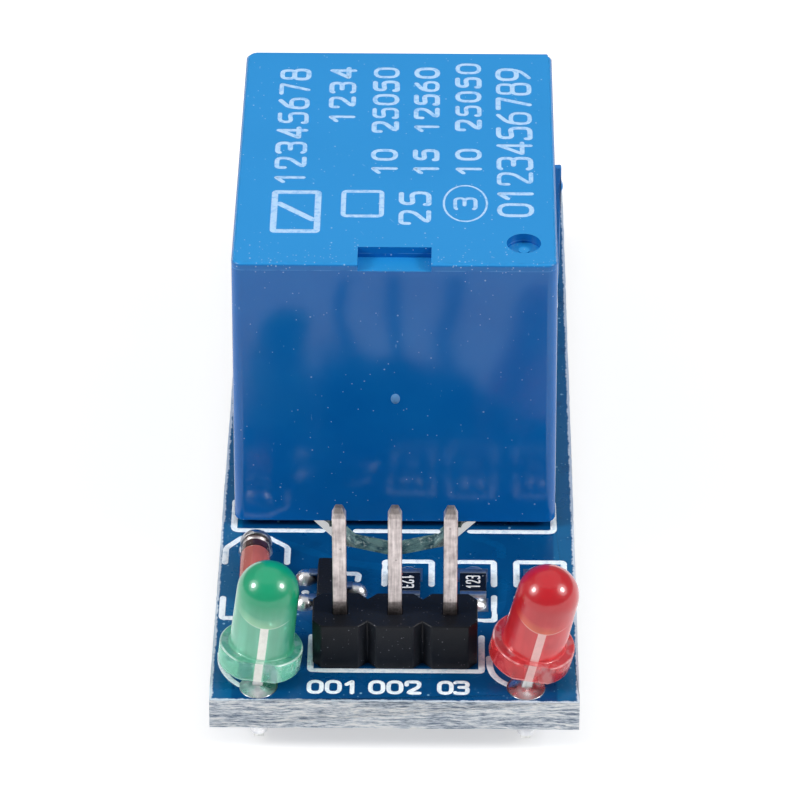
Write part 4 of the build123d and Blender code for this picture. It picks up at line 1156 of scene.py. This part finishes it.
    def joints(self) -> None:
        """Smooth solder cones on every lead under the board, and low ones on the lamps' leads above it."""
        groups = {
            "header_solder": [(x, 3.6) for x in (-2.54, 0.0, 2.54)],
            "led_solder": [(x, y) for x in (-6.275, 6.075) for y in (1.03, 3.57)],
            "relay_solder": [(-0.14, 15.11), (-6.14, 17.11), (5.86, 17.11), (-6.14, 29.31), (5.86, 29.31)],
            "terminal_solder": [(x, 37.1) for x in (-5.08, 0.0, 5.08)],
        }
        for node, spots in groups.items():
            low, _ = corners(node)
            drop = self.bottom - low.z
            mesh = new_mesh()
            for x, y in spots:
                bend = [(self.joint_foot, self.bottom + 0.001), (self.joint_foot, self.bottom - 0.02)]
                for step in range(1, self.joint_steps + 1):
                    t = step / self.joint_steps
                    share = (1 - t) ** self.joint_hollow
                    reach = self.joint_tip + (self.joint_foot - 0.04 - self.joint_tip) * share
                    bend.append((reach, self.bottom - 0.03 - (drop - 0.07) * t))
                outline = [(0, self.bottom + 0.001), *bend, (self.joint_tip * 0.6, low.z + 0.005), (0, low.z)]
                cone = spun(outline[::-1], 36)
                absorb(mesh, cone, Matrix.Translation((x, self.inward(y), 0)))
            if node == "led_solder":
                for x, y in spots:
                    rises = [(0, 0), (self.pad_radius, 0), (0.84, 0.03), (0.5, 0.12), (0.34, 0.26), (0, 0.27)]
                    ring = spun([(radius, BOARD_TOP + rise) for radius, rise in rises], 36)
                    absorb(mesh, ring, Matrix.Translation((x, self.inward(y), 0)))
            place("smooth_" + node, mesh, [Finish.SOLDER], BOARD, [node], "solder")

    def lumps(self) -> None:
        """Solder on the surface parts' ends and legs."""
        mesh = new_mesh()
        spots = []
        for x in self.chip_x:
            for side in (-1, 1):
                spots.append(((x, self.chip_y + side * 1.1, BOARD_TOP - 0.1), (0.66, 0.5, 0.5)))
        for side in (-1, 1):
            spots.append(((-6.72, 9.15 + side * 1.85, BOARD_TOP - 0.15), (0.8, 0.62, 0.85)))
        for x, y in ((-4.3, 8.95), (-4.3, 7.05), (-1.9, 8.0)):
            spots.append(((x, y, BOARD_TOP - 0.12), (0.55, 0.5, 0.62)))
        for index, ((x, y, z), radii) in enumerate(spots):
            absorb(mesh, lump((x, self.inward(y), z), radii, BOARD_TOP, index))
        place("solder_lumps", mesh, [Finish.SOLDER], BOARD, ["surface_solder"], "solder")


@dataclass
class PinHeader:
    """The three-pin header: a snapped strip of black plastic and square tinned pins."""

    edge: float = 0.07
    pin_edge: float = 0.02

    def build(self) -> None:
        """Build and dress the housing and the pins."""
        softened("header_housing", Finish.BLACK, self.edge, 3)
        for number in (1, 2, 3):
            softened("header_pin_%d" % number, Finish.PIN, self.pin_edge, 1, 12.0, 8.0)


class LampColor(Enum):
    """The two lamps."""

    GREEN = "green_led"
    RED = "red_led"


@dataclass
class IndicatorLamp:
    """A 3 mm lamp: a flanged lens round its lead frame and chip."""

    color: LampColor
    hole_x: float
    lift: float
    lean_right: float
    lean_back: float
    dome: Color
    body: Color
    glass: Color
    cup_light: Color
    bar: Color
    deep_side: float
    hole_y: float = -19.2
    knee: float = 0.3
    flange_radius: float = 1.93
    flange_height: float = 1.0
    flange_flat: float = 1.72
    lens_radius: float = 1.48
    dome_radius: float = 1.43
    height: float = 5.3
    edge: float = 0.07

    def origin(self) -> Vector:
        """Where the flange's underside is centred."""
        rise = self.lift - self.knee
        x = self.hole_x + rise * math.tan(math.radians(self.lean_right))
        y = self.hole_y + rise * math.tan(math.radians(self.lean_back))
        return Vector((x, y, BOARD_TOP + self.lift))

    def stand(self) -> Matrix:
        """The lamp's place and lean."""
        back = Matrix.Rotation(math.radians(-self.lean_back), 4, "X")
        right = Matrix.Rotation(math.radians(self.lean_right), 4, "Y")
        return Matrix.Translation(self.origin()) @ back @ right

    def build(self) -> None:
        """Build and dress the lens, the lead frame and the chip."""
        name = self.color.value
        mesh = self.lens()
        bmesh.ops.transform(mesh, matrix=self.stand(), verts=mesh.verts)
        turn = (math.radians(-self.lean_back), math.radians(self.lean_right), 0.0)
        finish = LampEpoxy(name + "_epoxy", self.dome, self.body, self.glass, self.cup_light, self.bar,
                           self.deep_side, tuple(self.origin()), turn, self.flange_height,
                           self.flange_radius, self.height - self.dome_radius)
        place(name + "_smooth_lens", mesh, [finish], BOARD, [name + "_lens"], SLOT_OF[name + "_lens"], 50.0)
        for part in ("_cathode", "_anode"):
            softened(name + part, Finish.LEAD, 0.03)
        repaint(name + "_chip", Finish.CRYSTAL)

    def lens(self) -> Mesh:
        """The flanged lens, turned round its axis, with the flat cut on the flange."""
        edge, flange, radius = self.edge, self.flange_radius, self.lens_radius
        shoulder = self.height - self.dome_radius
        outline: list[Point] = [(0, 0)]
        outline += arc((flange - edge, edge), edge, -90, 0, 4)
        outline += arc((flange - edge, self.flange_height - edge), edge, 0, 90, 4)
        outline += [(radius + 0.1, self.flange_height)]
        outline += arc((radius + 0.1, self.flange_height + 0.1), 0.1, -90, -180, 4)[1:]
        outline += arc((0, shoulder), self.dome_radius, 0, 90, 16)
        outline[-1] = (0, self.height)
        mesh = spun(outline, 96)
        sliced(mesh, (0, -self.flange_flat, 0), (0, -1, 0))
        return mesh


@dataclass
class SurfaceParts:
    """The glass diode, the transistor and the three chip resistors."""

    digit_height: float = 0.6
    digit_width: float = 0.2
    digit_advance: float = 0.34
    glass_radius: float = 0.7

    def build(self) -> None:
        """Build and dress the five parts."""
        self.diode()
        self.transistor()
        for number, reading in ((1, -90), (2, 90), (3, 90)):
            self.resistor(number, reading)

    def diode(self) -> None:
        """A glass tube with rounded rims round two studs, with a dark band at the far end."""
        low, high = corners("diode_glass")
        middle = (low + high) / 2
        half = (high.y - low.y) / 2
        rim = 0.2
        outline = [(0, -half)] + arc((self.glass_radius - rim, rim - half), rim, -90, 0, 6)
        outline += arc((self.glass_radius - rim, half - rim), rim, 0, 90, 6) + [(0, half)]
        outline[-2] = (self.glass_radius - rim, half)
        lie = Matrix.Translation(middle) @ Matrix.Rotation(math.radians(-90), 4, "X")
        core = [(0, -half + 0.12), (0.5, -half + 0.12), (0.5, half - 0.75), (0, half - 0.75)]
        band = [(0, half - 0.7), (0.56, half - 0.7), (0.56, half - 0.3), (0, half - 0.3)]
        glass = Glass("diode_glass_clear", (0.98, 0.93, 0.9))
        pieces = [
            ("diode_clear_glass", outline, 48, glass, ["diode_glass"]),
            ("diode_body_core", core, 40, Moulding("diode_orange", shade(164, 88, 84), 0.35, 0.01), ()),
            ("diode_dark_band", band, 40, Moulding("diode_band", shade(52, 22, 26), 0.3, 0.01), ()),
        ]
        for name, profile, steps, finish, replaces in pieces:
            mesh = spun(profile, steps)
            bmesh.ops.transform(mesh, matrix=lie, verts=mesh.verts)
            place(name, mesh, [finish], BOARD, replaces, "diode_glass")
        for node in ("diode_cathode_stud", "diode_anode_stud"):
            softened(node, Finish.STUD, 0.05)
        repaint("diode_chip", Finish.CRYSTAL)

    def transistor(self) -> None:
        """The black package and its three legs."""
        softened("transistor_body", Finish.EPOXY_BLACK, 0.06, 3)
        softened("transistor_legs", Finish.CAP, 0.02)

    def resistor(self, number: int, reading: float) -> None:
        """One chip resistor with its end caps and plain digits.

        Args:
            number: Its number in the row.
            reading: The direction in which its digits read, in degrees.
        """
        softened("resistor_%d_body" % number, Finish.GLAZE, 0.03)
        softened("resistor_%d_caps" % number, Finish.CAP, 0.04)
        low, high = corners("resistor_%d_body" % number)
        middle = (low + high) / 2
        side = math.copysign(1.0, reading)
        length = 2 * self.digit_advance + self.digit_width
        start = (middle.x + side * self.digit_height / 2, middle.y - side * length / 2)
        line = Line("123", start, self.digit_height, self.digit_width, self.digit_advance, reading)
        mesh = printed([(stroke, 0.09) for stroke in line.strokes()], 0.012)
        bmesh.ops.translate(mesh, vec=(0, 0, high.z), verts=mesh.verts)
        place("resistor_%d_digits" % number, mesh, [Finish.CODE_INK], BOARD, (), "resistor_ceramic", 60.0)


@dataclass
class Relay:
    """The sealed relay: its cover with print, its base and the mechanism inside."""

    ink: float = 0.25
    ink_height: float = 0.014
    edge: float = 0.06
    corner: float = 0.38
    rim: float = 0.12
    rim_more: float = 0.05
    gate_x: float = -0.1
    gate_height: float = 7.61
    gate_gap: float = 0.005
    draft: float = 0.165
    draft_low: float = 0.37
    draft_height: float = 14.87

    def build(self) -> None:
        """Build and dress the cover, the print and what the cover holds."""
        self.cover()
        self.print()
        self.gate_mark()
        self.base()
        self.mechanism()

    def cover(self) -> None:
        """The moulded cover, its rim rounder than the CAD's and a hair lower, to leave room for the ink."""
        low, high = corners("relay_cover")
        mesh = merged("relay_cover")
        tops = [vert.co.xy for vert in mesh.verts if vert.co.z > high.z - self.rim / 2]
        least = [min(spot[axis] for spot in tops) + self.corner for axis in (0, 1)]
        most = [max(spot[axis] for spot in tops) - self.corner for axis in (0, 1)]
        for vert in mesh.verts:
            if vert.co.z > high.z - 2 * self.rim:
                inner = Vector([min(max(vert.co[axis], least[axis]), most[axis]) for axis in (0, 1)])
                aside = vert.co.xy - inner
                on_top = vert.co.z > high.z - self.rim / 2
                if aside.length > self.corner * 0.9:
                    if on_top:
                        vert.co.xy -= aside.normalized() * self.rim_more
                    elif vert.co.z > high.z - 1.5 * self.rim:
                        vert.co.z -= self.rim_more
                if on_top:
                    vert.co.z -= self.ink_height
        whole(mesh)
        soften(mesh, self.edge, 35.0, 2, high.z - 1.0)
        finish = CoverPlastic("relay_cover_blue", high.z, low.y)
        place("relay_smooth_cover", mesh, [finish], BOARD, ["relay_cover"], SLOT_OF["relay_cover"], 52.0)

    def print(self) -> None:
        """Plain numbers and simple shapes on the top, in rows that read away from the pins."""
        _, high = corners("relay_cover")
        lines = [
            Line("12345678", (-4.56, -1.5), 1.3, 0.84, 1.33, 90),
            Line("1234", (-2.31, 3.9), 1.09, 0.84, 1.36, 90),
            Line("10 25050", (-0.19, -0.65), 1.08, 0.8, 1.24, 90),
            Line("15 12560", (1.78, -0.65), 1.03, 0.8, 1.24, 90),
            Line("10 25050", (3.82, -0.65), 1.06, 0.8, 1.3, 90),
            Line("0123456789", (6.26, -4.2), 1.52, 0.94, 1.34, 90),
            Line("25", (1.42, -4.9), 1.3, 1.0, 1.6, 90),
        ]
        strokes = [(stroke, self.ink) for line in lines for stroke in line.strokes()]
        strokes.append((Stroke(((-5.85, -5.6), (-3.8, -5.6), (-3.8, -2.3), (-5.85, -2.3)), 0.1, True), 0.34))
        strokes.append((Stroke(((-5.6, -3.3), (-4.05, -4.6)), 0.1), 0.34))
        strokes.append((Stroke(((-2.6, -4.3), (-0.8, -4.3), (-0.8, -2.2), (-2.6, -2.2)), 0.2, True), 0.24))
        ring = tuple((x, y * 1.5) for x, y in arc((3.14, -2.12), 1.02, 0, 345, 24))
        strokes.append((Stroke(ring, 0.1, True), 0.14))
        strokes += [(stroke, 0.2) for stroke in Line("3", (3.62, -3.65), 0.96, 0.9, 1.0, 90).strokes()]
        mesh = printed(strokes, self.ink_height)
        bmesh.ops.translate(mesh, vec=(0, 0, high.z - self.ink_height * 1.2), verts=mesh.verts)
        place("relay_print", mesh, [Finish.PALE_INK], BOARD, (), SLOT_OF["relay_cover"], 60.0)

    def gate_mark(self) -> None:
        """The oval nub where the cover's plastic was let in, painted pale for its highlight."""
        low, _ = corners("relay_cover")
        disc = spun([(0, 0), (0.22, 0), (0.2, 0.02), (0, 0.028)], 32)
        lean = self.draft * (self.gate_height - self.draft_low) / self.draft_height
        spot = (self.gate_x, low.y + self.gate_gap + lean, BOARD_TOP + self.gate_height)
        tip = Matrix.Translation(spot) @ Matrix.Rotation(math.radians(90), 4, "X")
        bmesh.ops.transform(disc, matrix=tip @ Matrix.Diagonal((1.0, 1.35, 1.0, 1.0)), verts=disc.verts)
        # painted highlight: the nub's pale colour
        place("relay_gate_mark", disc, [Moulding("gate_highlight_blue", shade(92, 148, 204), 0.5, 0.02)], BOARD, (),
              SLOT_OF["relay_cover"])

    def base(self) -> None:
        """The base plate, the resin and the pins."""
        softened("relay_base", Finish.BASE, 0.04)
        repaint("relay_resin", Finish.RESIN)
        for node in ("relay_coil_pin_left", "relay_coil_pin_right", "relay_open_strip", "relay_closed_strip",
                     "relay_common_terminal"):
            repaint(node, Finish.COPPER)

    def mechanism(self) -> None:
        """The coil, the magnet circuit, the blade and the contacts."""
        finishes = {
            "relay_bobbin": Finish.BOBBIN, "relay_winding": Finish.WIRE, "relay_core": Finish.MAGNET,
            "relay_yoke": Finish.MAGNET, "relay_armature": Finish.MAGNET,
            "relay_contact_blade": Finish.BRONZE, "relay_return_spring": Finish.BRONZE,
            "relay_moving_contact": Finish.SILVER, "relay_fixed_contacts": Finish.SILVER,
        }
        for node, finish in finishes.items():
            repaint(node, finish)


@dataclass
class TerminalBlock:
    """The three-pole screw terminal block."""

    edge: float = 0.08
    half_width: float = 7.72
    tuck: float = 0.25
    rib_front: float = 12.2
    rib_back: float = 14.8
    rib_share: float = 0.15

    def build(self) -> None:
        """Build and dress the housing, the screws, the cages and the contacts."""
        mesh = copy_of("terminal_housing")
        for vert in mesh.verts:
            if vert.co.x > self.half_width - NEAR and self.rib_front < vert.co.y < self.rib_back + NEAR:
                vert.co.y = self.rib_front + (vert.co.y - self.rib_front) * self.rib_share
            if abs(vert.co.x - self.half_width) < NEAR:
                vert.co.x -= self.tuck
        soften(mesh, self.edge)
        node = "terminal_housing"
        place("soft_" + node, mesh, [Finish.BLUE], BOARD, [node], SLOT_OF[node])
        for number in (1, 2, 3):
            softened("clamp_screw_%d" % number, Finish.STEEL, 0.05)
            softened("clamp_cage_%d" % number, Finish.STEEL, 0.04)
            softened("clamp_contact_%d" % number, Finish.CAP, 0.03)


@dataclass
class PhotoStudio:
    """The floor, the lamps, the white room and the camera."""

    floor_size: float = 2.0
    aim: tuple[float, float, float] = (0, -6, 8)
    lamp_way: tuple[float, float, float] = (0.79, -0.24, 0.57)
    lamp_distance: float = 0.5
    halo_behind: float = 0.05
    lamp_radius: float = 0.07
    lamp_power: float = 1.1
    halo_radius: float = 0.19
    halo_power: float = 0.7
    top_way: tuple[float, float, float] = (0, 0.25, 1)
    top_distance: float = 0.9
    top_power: float = 2.4
    top_size: float = 1.6
    room_light: float = 0.3
    room_gloss: float = 0.3
    spot: tuple[float, float, float] = (2.1808, -172.7245, 130.4494)
    lens: float = 193.957
    sensor: float = 36.0

    def build(self) -> None:
        """Set up the whole studio."""
        self.floor()
        self.room()
        self.lamps()
        self.camera()
        bpy.context.scene.view_settings.view_transform = "Standard"

    def floor(self) -> None:
        """A wide white floor, just under the clipped leads."""
        mesh = new_mesh()
        bmesh.ops.create_grid(mesh, x_segments=1, y_segments=1, size=self.floor_size * PER_METRE / 2)
        bmesh.ops.scale(mesh, vec=(MM,) * 3, verts=mesh.verts)
        data = bpy.data.meshes.new("floor")
        mesh.to_mesh(data)
        mesh.free()
        data.materials.append(dressed(Studio("studio_floor")))
        floor = bpy.data.objects.new("floor", data)
        bpy.context.scene.collection.objects.link(floor)

    def room(self) -> None:
        """A white world that lights the object softly."""
        world = bpy.data.worlds.new("room")
        bpy.context.scene.world = world
        world.use_nodes = True
        tree = world.node_tree
        tree.nodes.clear()
        path = tree.nodes.new("ShaderNodeLightPath")
        seen = tree.nodes.new("ShaderNodeMath")
        seen.operation = "MAXIMUM"
        tree.links.new(path.outputs["Is Camera Ray"], seen.inputs[0])
        tree.links.new(path.outputs["Is Transmission Ray"], seen.inputs[1])
        plain = tree.nodes.new("ShaderNodeMapRange")
        plain.inputs["To Min"].default_value = self.room_light
        plain.inputs["To Max"].default_value = self.room_gloss
        tree.links.new(path.outputs["Is Glossy Ray"], plain.inputs["Value"])
        level = tree.nodes.new("ShaderNodeMapRange")
        level.inputs["To Max"].default_value = 1.0
        tree.links.new(plain.outputs[0], level.inputs["To Min"])
        tree.links.new(seen.outputs[0], level.inputs["Value"])
        back = tree.nodes.new("ShaderNodeBackground")
        tree.links.new(level.outputs[0], back.inputs["Strength"])
        output = tree.nodes.new("ShaderNodeOutputWorld")
        tree.links.new(back.outputs[0], output.inputs["Surface"])

    def lamps(self) -> None:
        """Two round lamps at the sides and a broad soft one above."""
        aim = Vector(self.aim) * MM
        x, y, z = self.lamp_way
        behind = self.lamp_distance + self.halo_behind
        for side in (-1, 1):
            way = Vector((x * side, y, z)).normalized()
            name = "right" if side > 0 else "left"
            self.lamp(name + "_lamp", aim, way, self.lamp_distance, self.lamp_radius * 2, self.lamp_power)
            self.lamp(name + "_halo", aim, way, behind, self.halo_radius * 2, self.halo_power)
        above = Vector(self.top_way).normalized()
        self.lamp("top_lamp", aim, above, self.top_distance, self.top_size, self.top_power)

    def lamp(self, name: str, aim: Vector, way: Vector, distance: float, size: float, power: float) -> None:
        """One round area lamp.

        Args:
            name: The lamp's name.
            aim: The point that it faces.
            way: The direction from that point to the lamp.
            distance: How far off it is, in metres.
            size: Its diameter in metres.
            power: Its power in watts.
        """
        data = bpy.data.lights.new(name, "AREA")
        data.shape = "DISK"
        data.size = size
        data.energy = power
        lamp = bpy.data.objects.new(name, data)
        lamp.location = aim + way * distance
        lamp.rotation_mode = "QUATERNION"
        lamp.rotation_quaternion = way.to_track_quat("Z", "Y")
        bpy.context.scene.collection.objects.link(lamp)

    def camera(self) -> None:
        """The camera at the photograph's place and angle."""
        data = bpy.data.cameras.new("camera")
        data.lens = self.lens
        data.sensor_width = self.sensor
        data.clip_start = 0.01
        data.clip_end = 10.0
        camera = bpy.data.objects.new("camera", data)
        right = Vector((0.99992757, 0.01201265, -0.00074134))
        up = Vector((-0.00647759, 0.58905953, 0.80806368))
        forward = Vector((-0.01014368, 0.80800035, -0.58909468))
        spin = Matrix((right, up, -forward)).transposed()
        camera.matrix_world = Matrix.Translation(Vector(self.spot) * MM) @ spin.to_4x4()
        bpy.context.scene.collection.objects.link(camera)
        bpy.context.scene.camera = camera


def main() -> None:
    """Build every piece round the frame, then the studio, logging each piece's face count."""
    logging.basicConfig(level=logging.INFO, format="%(message)s")
    lamps = [
        IndicatorLamp(LampColor.GREEN, -6.275, 0.48, 6.9, 4.9, dome=(0.0, 0.36, 0.17), body=(0.2, 0.62, 0.42),
                      glass=(0.68, 1.0, 0.92), cup_light=(0.45, 0.85, 0.52), bar=(1.0, 1.0, 0.94), deep_side=1.0),
        IndicatorLamp(LampColor.RED, 6.075, 0.92, 11.5, -4.0, dome=(0.56, 0.004, 0.014),
                      body=(0.85, 0.06, 0.07), glass=(1.0, 0.43, 0.45), cup_light=(0.95, 0.22, 0.09),
                      bar=(1.0, 0.58, 0.56), deep_side=-1.0),
    ]
    pieces = [CircuitBoard(), PinHeader(), *lamps, SurfaceParts(), Relay(), TerminalBlock(), PhotoStudio()]
    for piece in pieces:
        log.info("building %s", type(piece).__name__)
        piece.build()


if __name__ == "__main__":
    main()
